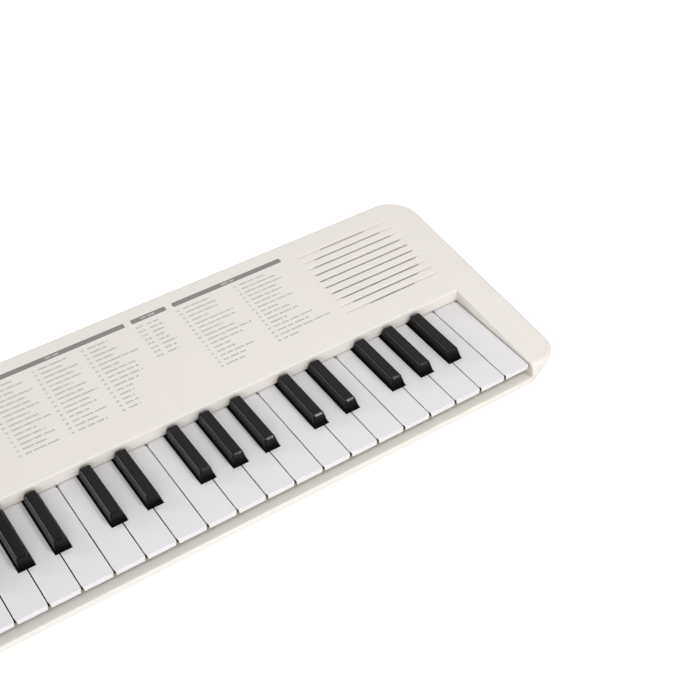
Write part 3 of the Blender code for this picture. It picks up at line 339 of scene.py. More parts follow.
# Key frame, contacts and felt
# What lies under the keys: a dark ABS frame with the pivot ridge, a red wool felt strip,
# and black silicone domes on a circuit board. They show only as slivers between the keys.
dark_abs = moulded_plastic("dark grey ABS, moulded", "#2B2B2D", 0.5, 0.8, 0.01)
silicone = moulded_plastic("black silicone, moulded", "#191919", 0.75, 0.5, 0.02)

felt, tree, shader, place = start_material("red wool felt, pressed", "#6B1A1E", 0.95)
vary(tree, shader, noise(tree, place, 0.6, 6), (linear("#4E1013"), linear("#8A2A2E")), relief=0.0003)

circuit_board, tree, shader, place = start_material("circuit board, solder masked", "#1F5A33", 0.35)
weave = add_node(tree, "ShaderNodeTexChecker", {"Vector": place, "Scale": 1000 / 0.8})
tracks = add_node(tree, "ShaderNodeTexBrick", {
    "Vector": place, "Scale": 1000 / 9, "Color1": linear("#1F5A33"), "Color2": linear("#1B5230"),
    "Mortar": linear("#2E7A48"), "Mortar Size": 0.08,
})
tree.links.new(tracks.outputs["Color"], shader.inputs["Base Color"])
vary(tree, shader, weave.outputs["Fac"], relief=0.00004)


def coat(node, material):
    """Give a CAD node that stays in sight its material."""
    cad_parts[node].data.materials.clear()
    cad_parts[node].data.materials.append(material)


coat("key_frame", dark_abs)
coat("rubber_contact_strip", silicone)
coat("key_stop_felt", felt)
coat("contact_board", circuit_board)
coat("main_board", circuit_board)


# White keys
# Glossy cool-white plastic caps, each its own moulding with a thin lip in front, rounded
# front corners and a leg under the lip that goes down into the case.
WHITE = "#E2E0E2"
# Painted shade in the gaps at the key fronts: its colour, how far back it reaches and how far sideways a face
# must turn.
PAINTED_GAP_SHADE = "#26241F"
GAP_SHADE_REACH = 0.002
GAP_SHADE_FACING = 0.5
PITCH = 0.0205
KEY_GAP = 0.0006
KEY_TOP = 0.033
LIP = 0.0035
SKIRT_DRAFT = 0.0004
CAP = 0.0016
CAP_WALL = 0.0013
FASCIA = -0.0098
KEY_FRONT = -0.0910
KEY_ROUND = 0.0004
FRONT_ROUND = 0.0008
REAR_NOTCH = 0.0014
TAIL_START = 0.0435
TAIL_BOTTOM = 0.024
PIVOT_Y = 0.0142
PIVOT_Z = 0.026
NOTCH_RADIUS = 0.00185
BLACK_FRONT = -0.0595
BLACK_GAP = 0.0005
BLACK_BASE = 0.010

# What stands under a key: half width, front, rear and lower end.
LEG = (0.0025, KEY_FRONT + 0.0077, KEY_FRONT + 0.0097, 0.0159)
TOE = (0.0025, KEY_FRONT + 0.0087, KEY_FRONT + 0.0125, 0.0159)
TOE_TOP = 0.0177
RIB = (0.004, -0.0792, -0.0758, 0.0257)
WHITE_POST = (0.0015, -0.0368, -0.0328, 0.0177)

# The caps are polished in the mould; only a wide, shallow unevenness breaks their reflections.
key_plastic, tree, shader, place = start_material("white key plastic, gloss moulded", WHITE, 0.2)
swell = noise(tree, place, 30, 2)
vary(tree, shader, swell, relief=0.00006)
vary(tree, shader, noise(tree, place, 12, 5), roughness=(0.14, 0.3))
tint = add_node(tree, "ShaderNodeMix", {0: swell, 6: linear(WHITE), 7: linear("#DFDDDE")}, data_type="RGBA")


def calculate(tree, operation, *values):
    """Add a math node and return its result."""
    return add_node(tree, "ShaderNodeMath", dict(enumerate(values)), operation=operation).outputs[0]


# Painted shade: the sides of the caps near the front are drawn dark for the shadow deep in the
# gap between two keys, so that the gap ends in a dark dot.
surface = tree.nodes.new("ShaderNodeNewGeometry").outputs
facing = add_node(tree, "ShaderNodeSeparateXYZ", {0: surface["Normal"]})
where = add_node(tree, "ShaderNodeSeparateXYZ", {0: place})
sideways = calculate(tree, "GREATER_THAN", calculate(tree, "ABSOLUTE", facing.outputs["X"]), GAP_SHADE_FACING)
in_front = calculate(tree, "LESS_THAN", where.outputs["Y"], KEY_FRONT + GAP_SHADE_REACH)
painted_gap_shade = calculate(tree, "MULTIPLY", sideways, in_front)
vary(tree, shader, painted_gap_shade, (tint.outputs[2], linear(PAINTED_GAP_SHADE)))


def pivot_notch(width):
    """Start the round-topped cutter by which a key sits on the pivot ridge."""
    slot = start_block("pivot slot", (-width, PIVOT_Y - NOTCH_RADIUS, TAIL_BOTTOM - 0.001),
                       (width, PIVOT_Y + NOTCH_RADIUS, PIVOT_Z))
    fuse(slot, start_rod("pivot bore", (0, PIVOT_Y, PIVOT_Z), NOTCH_RADIUS, 2 * width, "X", 24))
    return slot


def start_bar(name, form, top, middle=0.0):
    """Start a bar under a key from its form, up to a height."""
    half, front, rear, low = form
    return start_block(name, (middle - half, front, low), (middle + half, rear, top))


def white_key(name, left, right, tail_end):
    """Model one white key about its own middle, its rear part between two sides."""
    half = (PITCH - KEY_GAP) / 2
    key = start_block(name, (-half, KEY_FRONT, KEY_TOP - LIP), (half, tail_end, KEY_TOP))
    round_edges(key, lambda e: is_upright(e) and e.verts[0].co.y < KEY_FRONT + NEAR, FRONT_ROUND, 3)
    choose(key, "VERT", lambda vert: vert.co.z < KEY_TOP - LIP + NEAR)
    bpy.ops.transform.resize(value=(1 - SKIRT_DRAFT / half, 1, 1))
    close()
    notch_y = BLACK_FRONT - BLACK_GAP
    rear_corners = []
    for edge, side in ((left, -1), (right, 1)):
        if side * edge < half - 2 * KEY_GAP:
            corners = sorted((edge, side * PITCH))
            cut_away(key, start_block("black gap", (corners[0], notch_y, 0), (corners[1], 1, 1)))
        else:
            rear_corners.append(side * half)
    round_edges(key, lambda e: all(v.co.z > KEY_TOP - TINY for v in e.verts) and not e.is_wire
                and any(abs(f.normal.z) < 0.5 for f in e.link_faces), KEY_ROUND, 3)
    under = KEY_TOP - CAP
    tail_y = KEY_FRONT + TAIL_START
    cut_away(
        key,
        start_block("cap hollow", (-half + CAP_WALL, KEY_FRONT + CAP_WALL, 0),
                    (half - CAP_WALL, notch_y - CAP_WALL, under)),
        start_block("neck hollow", (left + CAP_WALL, notch_y - 2 * CAP_WALL, 0),
                    (right - CAP_WALL, tail_y, under)),
    )
    fuse(
        key,
        start_block("tail", (left, tail_y - 0.001, TAIL_BOTTOM), (right, tail_end, under)),
        start_bar("leg", LEG, under + CAP / 2),
        start_bar("toe", TOE, TOE_TOP),
        start_bar("rib", RIB, under + CAP / 2),
        start_bar("post", WHITE_POST, under + CAP / 2, (left + right) / 2),
    )
    cut_away(key, pivot_notch(PITCH))
    for x in rear_corners:
        cut_away(key, start_disc("rear notch", (x, FASCIA - REAR_NOTCH / 2), REAR_NOTCH, 0, 1, 4))
    smooth(key)
    return key


def copy_piece(item, name):
    """Copy a piece with a mesh of its own."""
    twin = item.copy()
    twin.data = item.data.copy()
    twin.name = name
    bpy.context.scene.collection.objects.link(twin)
    return twin


key_nodes = sorted(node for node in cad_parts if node.startswith("key_") and node[4:6].isdigit())
is_black = {node: node.endswith("sharp") for node in key_nodes}
shapes = {}
for place, node in enumerate(key_nodes):
    if is_black[node]:
        continue
    low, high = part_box(node)
    middle = (low.x + high.x) / 2
    edges = [low.x - middle, high.x - middle]
    for side, step in ((0, -1), (1, 1)):
        neighbour = key_nodes[place + step] if 0 <= place + step < len(key_nodes) else node
        if is_black[neighbour]:
            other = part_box(neighbour)
            edges[side] = other[1 - side].x - step * BLACK_GAP - middle
    shape = tuple(round(edge, 6) for edge in edges)
    if shape not in shapes:
        shapes[shape] = white_key("white shape", *shape, high.y)
    key = copy_piece(shapes[shape], node.replace("key", "white_key"))
    key.data.transform(Matrix.Translation((middle, 0, 0)))
    fit(key, key_plastic, node, node)
for pattern in shapes.values():
    bpy.data.objects.remove(pattern)


# Black keys
# Gloss black plastic, high over the white caps, with flanks and a front that lean in and
# softly rounded edges, which catch the light as thin lines.
BLACK = "#0B0B0C"
BLACK_GLOSS = 0.18
# The gloss at the base and the band above the white caps where it stays low paint shade on the lower flanks.
BLACK_SHADED_BASE_GLOSS = 0.01
BLACK_SHADE_BAND = 0.002
BLACK_TOP = 0.0074
BLACK_RISE = 0.0079
BLACK_FRONT_LEAN = 0.0027
BLACK_REAR_GAP = 0.0006
BLACK_REAR_LEAN = 0.0016
BLACK_ROUND = 0.0011
BLACK_CHAMFER = 0.0009
BLACK_CORNER = 0.0006
BLACK_INSIDE = 0.0019
BLACK_SEAT = 0.0004
BLACK_POST = (0.0015, -0.0368, -0.0328, 0.0182)
TONGUE = (0.0015, BLACK_FRONT + 0.006, BLACK_FRONT + 0.009, 0.0129)

# Painted shade: the gloss is lowest at the base and grows to the top edge, so that the lower flanks reflect
# little and look shaded.
black_plastic, tree, shader, place = start_material("black key plastic, gloss moulded", BLACK, 0.16)
vary(tree, shader, noise(tree, place, 9, 5), (linear(BLACK), linear("#100F11")), (0.1, 0.26), 0.00002)
height = add_node(tree, "ShaderNodeSeparateXYZ", {0: place})
gloss = add_node(tree, "ShaderNodeMapRange", {
    "Value": height.outputs["Z"], "From Min": KEY_TOP + BLACK_SHADE_BAND,
    "From Max": KEY_TOP + BLACK_RISE - BLACK_CHAMFER, "To Min": BLACK_SHADED_BASE_GLOSS, "To Max": BLACK_GLOSS,
})
tree.links.new(gloss.outputs["Result"], shader.inputs["Specular IOR Level"])


def black_key(name, tail_end):
    """Model one black key about its own middle."""
    half = BLACK_BASE / 2
    rear = FASCIA - BLACK_REAR_GAP
    center = (BLACK_FRONT + rear) / 2
    raised = KEY_TOP + 0.001
    key = start_block(name, (-half, BLACK_FRONT, KEY_TOP - LIP), (half, rear, KEY_TOP))
    choose(key, "FACE", lambda face: face.normal.z > 0.99)
    bpy.ops.mesh.extrude_region_move(TRANSFORM_OT_translate={"value": (0, 0, BLACK_RISE)})
    close()
    choose(key, "VERT", lambda vert: vert.co.z > raised)
    bpy.ops.transform.resize(value=(BLACK_TOP / BLACK_BASE, 1, 1))
    close()
    move(key, lambda vert: vert.co.z > raised and vert.co.y < center, (0, BLACK_FRONT_LEAN, 0))
    move(key, lambda vert: vert.co.z > raised and vert.co.y > center, (0, -BLACK_REAR_LEAN, 0))
    edge_y = BLACK_FRONT + BLACK_FRONT_LEAN + NEAR
    round_edges(key, lambda e: max(v.co.z for v in e.verts) > raised
                and max(v.co.y for v in e.verts) > edge_y, BLACK_ROUND, 5)
    round_edges(key, lambda e: all(v.co.z > raised and v.co.y < edge_y for v in e.verts), BLACK_CHAMFER, 1)
    round_edges(key, lambda e: min(v.co.z for v in e.verts) < KEY_TOP + NEAR < max(v.co.z for v in e.verts)
                and max(v.co.y for v in e.verts) < edge_y + BLACK_CHAMFER and not is_upright(e),
                BLACK_CORNER, 3)
    tail_y = KEY_FRONT + TAIL_START
    inside = KEY_TOP + BLACK_INSIDE
    cut_away(key, start_block("hollow", (-half + CAP_WALL, BLACK_FRONT + CAP_WALL, 0),
                              (half - CAP_WALL, tail_y - CAP_WALL, inside)))
    fuse(
        key,
        start_block("tail", (-half, tail_y, TAIL_BOTTOM), (half, tail_end, KEY_TOP - BLACK_SEAT)),
        start_bar("tongue", TONGUE, inside + CAP / 2),
        start_bar("post", BLACK_POST, TAIL_BOTTOM + CAP_WALL),
    )
    cut_away(key, pivot_notch(PITCH))
    smooth(key)
    return key


black_nodes = [node for node in key_nodes if is_black[node]]
pattern = black_key("black shape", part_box(black_nodes[0])[1].y)
for node in black_nodes:
    low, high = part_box(node)
    key = copy_piece(pattern, node.replace("key", "black_key"))
    key.data.transform(Matrix.Translation(((low.x + high.x) / 2, 0, 0)))
    fit(key, black_plastic, node, node)
bpy.data.objects.remove(pattern)


# Speaker
# A paper cone in a pressed steel basket, held up against the underside of the grille.
SPEAKER_FROM_RIGHT = 0.0649
SPEAKER_FROM_REAR = 0.0507

paper, tree, shader, place = start_material("black paper, pressed", "#141414", 0.9)
vary(tree, shader, noise(tree, place, 1.2, 6), (linear("#0F0F0F"), linear("#1C1C1C")), relief=0.0001)

steel, tree, shader, place = start_material("zinc-plated steel, pressed", "#B4B5B8", 0.35)
shader.inputs["Metallic"].default_value = 1
spangle = add_node(tree, "ShaderNodeTexVoronoi", {"Vector": place, "Scale": 1000 / 4})
vary(tree, shader, spangle.outputs["Distance"], roughness=(0.25, 0.45))

coat("speaker_cone", paper)
coat("speaker_frame", steel)


# Upper case
# The ivory ABS top shell: a panel that rises gently to the rear, a lowered well for the
# keys with a fascia behind them, cheeks beside them and a thin rail in front.
PANEL_SLOPE = 0.095
PANEL_AT_KEY_FRONT = 0.0351
RIM_ROUND = 0.003
RIM_WALL = 0.0031
RIM_FRONT_RADIUS = 0.016
FRONT_LEAN = 0.0015
WELL_SIDE = 0.2259
WELL_WALL = 0.002
WELL_EDGE = 0.0010
RAIL_TOP = 0.024
RAIL_REACH = 0.0062
PASSAGE_GAP = 0.0008
BOSS_BORE = 0.010
SOCKET_PLACES = (-0.1707, -0.1527)
SOCKET_HEIGHT = 0.032
SOCKET_HOLE = 0.0038
PANEL_ANGLE = math.atan(PANEL_SLOPE)
case_low, case_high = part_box("upper_case")


def panel_z(y):
    """Return the height of the sloping panel at a depth."""
    return PANEL_AT_KEY_FRONT + PANEL_SLOPE * (y - KEY_FRONT)


def panel_place(x, up):
    """Return the frame of a place on the panel, measured up the slope from the fascia."""
    y = FASCIA + up * math.cos(PANEL_ANGLE)
    return Matrix.Translation((x, y, panel_z(y))) @ Matrix.Rotation(PANEL_ANGLE, 4, "X")


def case_shape(name, inset, floor):
    """Start the rounded wedge of the upper case, drawn in by a distance."""
    x, y = case_high.x - inset, case_high.y - inset
    body = start_block(name, (-x, -y, floor), (x, y, 2 * case_high.z))
    choose(body, "FACE", lambda face: True)
    bpy.ops.mesh.bisect(plane_co=(0, KEY_FRONT, PANEL_AT_KEY_FRONT - inset - RIM_WALL),
                        plane_no=(0, -PANEL_SLOPE, 1), use_fill=True, clear_outer=True)
    close()
    round_corners(body, inset)
    radius = FRONT_RADIUS - inset
    share = (RIM_FRONT_RADIUS - inset) / radius
    raised = floor + 0.005
    for sign in (-1, 1):
        choose(body, "VERT", lambda vert: vert.co.z > raised and sign * vert.co.x > x - radius - NEAR
               and vert.co.y < radius - y + NEAR)
        corner = (sign * x, -y, panel_z(-y) - inset - RIM_WALL)
        bpy.ops.transform.resize(value=(share, share, share), center_override=corner)
        close()
    lean = (0, FRONT_LEAN, FRONT_LEAN * PANEL_SLOPE)
    move(body, lambda vert: vert.co.z > raised and vert.co.y < 0, lean)
    choose(body, "FACE", lambda face: face.normal.z > 0.9)
    bpy.ops.mesh.extrude_region_move(TRANSFORM_OT_translate={"value": (0, 0, RIM_WALL)})
    close()
    return body


def is_rim(edge):
    """Say whether an edge runs round the panel."""
    return all(v.co.z > panel_z(v.co.y) - TINY for v in edge.verts)


def is_well_edge(edge):
    """Say whether an edge is a corner between the outside of the case and the well."""
    ends = [v.co for v in edge.verts]
    front = case_low.y + FRONT_LEAN + TINY
    outside = all(p.z > panel_z(p.y) - TINY or p.y < front + RIM_ROUND for p in ends)
    on_side = all(abs(abs(p.x) - WELL_SIDE) < TINY for p in ends)
    on_fascia = all(abs(p.y - FASCIA) < TINY for p in ends)
    on_rail = all(abs(p.z - RAIL_TOP) < TINY and p.y < front for p in ends)
    return outside and (on_side or on_fascia or on_rail)


case = case_shape("upper_case_shell", 0, case_low.z)
round_edges(case, is_rim, RIM_ROUND, 6)
hollow = case_shape("case hollow", WALL, case_low.z - WALL)
side, rear = WELL_SIDE + WELL_WALL, FASCIA + WELL_WALL
cut_away(hollow, start_block("kept", (-side, -1, RAIL_TOP - WALL), (side, rear, 1)))
cut_away(case, hollow)
cut_away(case, start_block("well", (-WELL_SIDE, -1, RAIL_TOP), (WELL_SIDE, FASCIA, 1)))
round_edges(case, is_well_edge, WELL_EDGE, 3)
cut_away(case, start_block("passage", (-WELL_SIDE, KEY_FRONT + RAIL_REACH, 0),
                           (WELL_SIDE, rear + WALL, KEY_TOP + PASSAGE_GAP)))
for x, y in post_places:
    fuse(case, start_disc("boss", (x, y), POST_RADIUS, case_low.z, panel_z(y) - WALL / 2, 24))
    cut_away(case, start_disc("bore", (x, y), SCREW_RADIUS, 0, case_low.z + BOSS_BORE, 16))
for x in SOCKET_PLACES:
    cut_away(case, start_rod("socket hole", (x, case_high.y, SOCKET_HEIGHT), SOCKET_HOLE, 4 * WALL, "Y", 40))

# The grille: ten moulded grooves, steep at the front and rising to the rear in two slopes,
# whose ends run out to a point; inside the speaker's circle their floors are cut through.
# Each form is a depth, the width of its floor and its width at the top.
GROOVE_COUNT = 10
GROOVE_PITCH = 0.00716
GROOVE_SPAN = 0.0797
GROOVE_TAPER = 0.003
GROOVE_AHEAD = 0.0022
GROOVE_TIP = 0.05
GROOVE_ABOVE = 0.0002
GROOVE_FORM = ((0.0013, 0.0018, 0.0030), (0.0006, 0.0019, 0.0042))
SLOT_WIDTH = 0.0020
SLOT_TOP = -0.0004
GRILLE_RADIUS = 0.0375
grille_x = case_high.x - SPEAKER_FROM_RIGHT
grille_up = (case_high.y - SPEAKER_FROM_REAR - FASCIA) / math.cos(PANEL_ANGLE)
for row in range(GROOVE_COUNT):
    up = (row - (GROOVE_COUNT - 1) / 2) * GROOVE_PITCH
    side = GROOVE_SPAN / 2 - GROOVE_TAPER
    place = panel_place(grille_x, grille_up + up - GROOVE_AHEAD)
    for depth, floor_width, width in GROOVE_FORM:
        groove = start_block("groove", (-side, 0, -depth), (side, width, GROOVE_ABOVE))
        move(groove, lambda vert: vert.co.z < 0 and vert.co.y > width / 2, (0, floor_width - width, 0))
        for sign in (-1, 1):
            choose(groove, "FACE", lambda face: face.normal.x * sign > 0.99)
            bpy.ops.mesh.extrude_region_move(TRANSFORM_OT_translate={"value": (sign * GROOVE_TAPER, 0, 0)})
            tip = (sign * GROOVE_SPAN / 2, GROOVE_ABOVE, GROOVE_ABOVE)
            bpy.ops.transform.resize(value=(1, GROOVE_TIP, GROOVE_TIP), center_override=tip)
            close()
        groove.matrix_world = place
        cut_away(case, groove)
    chord = math.sqrt(GRILLE_RADIUS ** 2 - up ** 2)
    slot = start_block("slot", (-chord, 0.0001, -2 * WALL), (chord, SLOT_WIDTH, SLOT_TOP))
    slot.matrix_world = place
    cut_away(case, slot)

# Openings for the controls, with the same clearance all round.
CONTROL_GAP = 0.0004
OPENING_CORNER = 0.0016
SMALL_CORNER = 0.0009
THROUGH = -2 * WALL
LEFT = case_low.x
BUTTON_ROW = 0.040
UPPER_ROW = 0.072

# Each control: its distance from the left end of the case, its length and its width.
PUSH_BUTTONS = (
    ("voice_button", 0.0655, 0.014, 0.007),
    ("rhythm_button", 0.0860, 0.014, 0.007),
    ("song_button", 0.1065, 0.014, 0.007),
    ("start_stop_button", 0.1330, 0.020, 0.009),
)
ROCKER = (0.1330, 0.024, 0.009)
SWITCH = (0.034, 0.005, 0.0045)
SWITCH_TRAVEL = 0.004
KNOB_X = 0.034
SHAFT_RADIUS = 0.003
WINDOW = (0.0865, 0.046, 0.020)
WINDOW_THICK = 0.0014
WINDOW_BED = 0.0003
WINDOW_LEDGE = 0.0015
WINDOW_CORNER = 0.0013
WINDOW_EDGE = 0.0002


def start_slab(name, length, width, low, high):
    """Add a block about the origin, between two heights."""
    return start_block(name, (-length / 2, -width / 2, low), (length / 2, width / 2, high))


def cut_opening(x, up, length, width, low=THROUGH, corner=OPENING_CORNER):
    """Cut the panel open for a control of a given size."""
    tool = start_slab("opening", length + 2 * CONTROL_GAP, width + 2 * CONTROL_GAP, low, WALL)
    round_edges(tool, is_upright, corner, 4)
    tool.matrix_world = panel_place(LEFT + x, up)
    cut_away(case, tool)


for _, x, length, width in PUSH_BUTTONS:
    cut_opening(x, BUTTON_ROW, length, width)
cut_opening(ROCKER[0], UPPER_ROW, ROCKER[1], ROCKER[2])
cut_opening(SWITCH[0] + SWITCH_TRAVEL / 2, UPPER_ROW, SWITCH[1] + SWITCH_TRAVEL, SWITCH[2],
            corner=SMALL_CORNER)
cut_opening(WINDOW[0], UPPER_ROW, WINDOW[1], WINDOW[2], -WINDOW_THICK - WINDOW_BED)
view = [size - 2 * WINDOW_LEDGE for size in WINDOW[1:]]
cut_opening(WINDOW[0], UPPER_ROW, *view, corner=SMALL_CORNER)
shaft_hole = start_disc("shaft hole", (0, 0), SHAFT_RADIUS + CONTROL_GAP, THROUGH, WALL)
shaft_hole.matrix_world = panel_place(LEFT + KNOB_X, BUTTON_ROW)
cut_away(case, shaft_hole)
smooth(case)
fit(case, ivory_abs, "case", "upper_case")


# Printed marks
# Grey ink, pad printed on the panel: a header bar over each list, and rows of a number and
# a name. The names are drawn as rows of small blocks, which say nothing.
INK_HEIGHT = 0.00004
INK_PATCHES = 1.12
INK_CORNER = 0.12
NUMBER_SIZE = 0.0022
LETTER_MIDDLE = 0.35
BLOCK = (0.00048, 0.0013)
BLOCK_PITCH = 0.00105
BLOCK_STRETCH = (0.8, 1.1)
WORD_LENGTH = (0.003, 0.009)
WORD_GAP = 0.0012
BAR_UP = 0.09175
BAR_HEIGHT = 0.0041

# Each bar: its left end, its right end and the width of the marks on it.
HEADER_BARS = ((0.0487, 0.1358, 0.0088), (0.0170, 0.0435, 0.0115), (-0.0945, 0.0118, 0.0088))
FIRST_ROW = 0.0849
ROW_PITCH = 0.004345

# Each list: its name, left edge, indent, first number, numbers per row and row lengths in mm.
ROW_LISTS = (
    ("song_rows_left", 0.0487, 0.0050, 1, 0,
     (20.4, 22.5, 22, 12, 29.2, 27.9, 17, 23, 34, 23.7, 12.5, 13.3, 25, 16.2, 13.7)),
    ("song_rows_right", 0.0932, 0.0049, 16, 0,
     (20, 26.5, 29.4, 22.7, 24, 20.2, 27.7, 13.6, 19.4, 24.4, 12.7, 32, 25.2, 39, 12.7)),
    ("rhythm_rows", 0.0173, 0.0088, 1, 7, (8.1, 9.3, 8.9, 6, 6.8, 11, 8.1, 8.1)),
    ("tone_rows_right", -0.0235, 0.0050, 31, 0,
     (14, 12, 16, 13, 28.1, 12, 22.2, 22.2, 23.1, 17.8, 11, 10, 8, 9, 8)),
    ("tone_rows_middle", -0.0590, 0.0050, 16, 0,
     (20, 14, 24, 19, 22, 15, 23, 18, 26, 17, 21, 13, 24, 16, 20)),
    ("tone_rows_left", -0.0945, 0.0050, 1, 0,
     (16, 22, 13, 25, 18, 21, 24, 15, 20, 26, 14, 19, 23, 17, 22)),
)


def ink(name, color):
    """Printing ink: a thin film, a little patchy and a little glossier than the case."""
    material, tree, shader, place = start_material(name, color, 0.4)
    vary(tree, shader, noise(tree, place, 2, 4), (linear(color), shaded(color, INK_PATCHES)), relief=0.00001)
    return material


grey_ink = ink("grey ink, pad printed", "#7E7D7B")
light_ink = ink("light grey ink, pad printed", "#7A7876")
white_ink = ink("white ink, pad printed", "#E9E8E6")


def join_pieces(name, parts):
    """Join several shapes into one piece."""
    bpy.ops.object.select_all(action="DESELECT")
    for part in parts:
        part.select_set(True)
    bpy.context.view_layer.objects.active = parts[0]
    bpy.ops.object.join()
    parts[0].name = name
    return parts[0]


def ink_patch(x0, x1, up, height, low=0.0):
    """Start one flat patch of ink, in the panel's own frame."""
    patch = start_block("patch", (x0, up - height / 2, low), (x1, up + height / 2, low + INK_HEIGHT))
    round_edges(patch, is_upright, min(height, x1 - x0) * INK_CORNER, 1)
    return patch


def lettering(text, x, up, size):
    """Start a number or a switch word as a mesh, in the panel's own frame."""
    bpy.ops.object.select_all(action="DESELECT")
    bpy.ops.object.text_add(location=(0, 0, 0))
    word = bpy.context.object
    word.data.body = text
    word.data.size = size
    word.data.extrude = INK_HEIGHT / 2
    word.data.resolution_u = 2
    bpy.ops.object.convert(target="MESH")
    word.data.transform(Matrix.Translation((x, up - size * LETTER_MIDDLE, INK_HEIGHT / 2)))
    return word


def block_row(run, end, up, low=0.0):
    """Start a row of small upright blocks in words, as far as its end."""
    parts = []
    while run < end:
        word_end = run + draw.uniform(*WORD_LENGTH)
        while run < min(word_end, end):
            block = copy_piece(stroke, "block")
            tall = Matrix.Diagonal((1, draw.uniform(*BLOCK_STRETCH), 1, 1))
            block.data.transform(Matrix.Translation((run, up, low)) @ tall)
            parts.append(block)
            run += BLOCK_PITCH
        run += WORD_GAP
    return parts


def finish_print(name, parts, material):
    """Join the parts of a print, lay it on the panel and fix it to the case."""
    piece = join_pieces(name, parts)
    piece.data.transform(panel_place(0, 0))
    fit(piece, material, "case")


draw = random.Random(7)
stroke = ink_patch(0, BLOCK[0], 0, BLOCK[1])
for place, (left, right, word) in enumerate(HEADER_BARS):
    middle = (left + right) / 2
    finish_print("header_bar_%d" % (place + 1), [ink_patch(left, right, BAR_UP, BAR_HEIGHT)], grey_ink)
    marks = block_row(middle - word / 2, middle + word / 2, BAR_UP, INK_HEIGHT)
    finish_print("header_marks_%d" % (place + 1), marks, white_ink)
for name, x, indent, first, step, lengths in ROW_LISTS:
    parts = []
    for row, length in enumerate(lengths):
        up = FIRST_ROW - row * ROW_PITCH
        number = first + row * max(step, 1)
        label = "%02d-%02d" % (number, number + step - 1) if step else "%02d" % number
        parts.append(lettering(label, x, up, NUMBER_SIZE))
        parts += block_row(x + indent, x + indent + length / 1000, up)
    finish_print(name, parts, light_ink)
bpy.data.objects.remove(stroke)


# Push buttons, rocker and slide switch
# Mid-grey ABS caps with a fine grain, rounded corners and a flange under the panel that
# holds them in. The rocker tips about its middle, where its top dips.
BUTTON_RISE = 0.0018
BUTTON_SKIRT = 0.0034
BUTTON_DISH = 0.0003
BUTTON_INSETS = (0.0003, 0.0002)
BUTTON_CORNER = 0.0012
BUTTON_EDGE = 0.0005
STEM = 0.004
STEM_END = -0.0064
FLANGE = 0.0011
FLANGE_TOP = -WALL - 0.0003
FLANGE_SHEET = 0.0009
SWITCH_RISE = 0.0014
GRIP = (0.0008, 0.0005)
GRIP_PITCH = 0.0014
SWITCH_EDGE = 0.0003
SWITCH_TEXT = 0.0026
ROCKER_DIP = 0.0006
ROCKER_CORNER = 0.0010
ROCKER_EDGE = 0.0004
ROCKER_STEM = 0.003
ROCKER_STEM_END = -0.0066
ROCKER_AXLE_END = -0.0107
ROCKER_REACH = 0.009
button_abs = moulded_plastic("mid-grey ABS, moulded", "#8C8C8F", 0.45, 0.6, 0.012)
dark_button_abs = moulded_plastic("charcoal ABS, moulded", "#3C3C3F", 0.45, 0.6, 0.012)


def start_flange(length, width):
    """Start the flange under the panel that keeps a control in."""
    return start_slab("flange", length + 2 * FLANGE, width + 2 * FLANGE,
                      FLANGE_TOP - FLANGE_SHEET, FLANGE_TOP)


def button_cap(name, length, width):
    """Model a button's cap, flange and stem about its own place on the panel."""
    cap = start_slab(name, length, width, -BUTTON_SKIRT, BUTTON_RISE)
    round_edges(cap, is_upright, BUTTON_CORNER, 5)
    round_edges(cap, lambda e: all(v.co.z > BUTTON_RISE - TINY for v in e.verts), BUTTON_EDGE, 3)
    choose(cap, "FACE", lambda f: f.normal.z > 0.99 and f.calc_center_median().z > BUTTON_RISE - TINY)
    for thickness in BUTTON_INSETS:
        bpy.ops.mesh.inset(thickness=thickness, use_even_offset=True)
    bpy.ops.transform.translate(value=(0, 0, -BUTTON_DISH))
    close()
    flange = start_flange(length, width)
    round_edges(flange, is_upright, BUTTON_CORNER, 3)
    fuse(cap, flange, start_slab("stem", STEM, STEM, STEM_END, 0.0002 - BUTTON_SKIRT))
    return cap


def fit_control(piece, node, x, up, material):
    """Set a control on the panel, in the place of its CAD node."""
    piece.data.transform(panel_place(LEFT + x, up))
    smooth(piece)
    fit(piece, material, node, node)


for node, x, length, width in PUSH_BUTTONS:
    cap = button_cap(node + "_cap", length, width)
    fit_control(cap, node, x, BUTTON_ROW, button_abs)

# The rocker: a long cap that dips to its middle, on an axle, with a stem under each end.
rocker = start_slab("value_rocker_cap", ROCKER[1], ROCKER[2], -WALL, BUTTON_RISE)
choose(rocker, "EDGE", lambda edge: abs(edge.verts[0].co.x - edge.verts[1].co.x) > 0.001)
bpy.ops.mesh.subdivide(number_cuts=7)
close()
for step in range(-3, 4):
    drop = ROCKER_DIP * math.cos(step / 8 * math.pi) ** 2
    move(rocker, lambda vert: vert.co.z > 0 and abs(vert.co.x - step * ROCKER[1] / 8) < NEAR, (0, 0, -drop))
round_edges(rocker, is_upright, ROCKER_CORNER, 4)
round_edges(rocker, lambda e: min(v.co.z for v in e.verts) > 0
            and any(abs(f.normal.z) < 0.5 for f in e.link_faces), ROCKER_EDGE, 3)
fuse(rocker, start_slab("axle", ROCKER_STEM, ROCKER_STEM, ROCKER_AXLE_END, -WALL / 2))
stem_form = (ROCKER_STEM / 2, -ROCKER_STEM / 2, ROCKER_STEM / 2, ROCKER_STEM_END)
fuse(rocker, *[start_bar("stem", stem_form, -WALL / 2, x) for x in (-ROCKER_REACH, ROCKER_REACH)])
fit_control(rocker, "value_rocker", ROCKER[0], UPPER_ROW, button_abs)

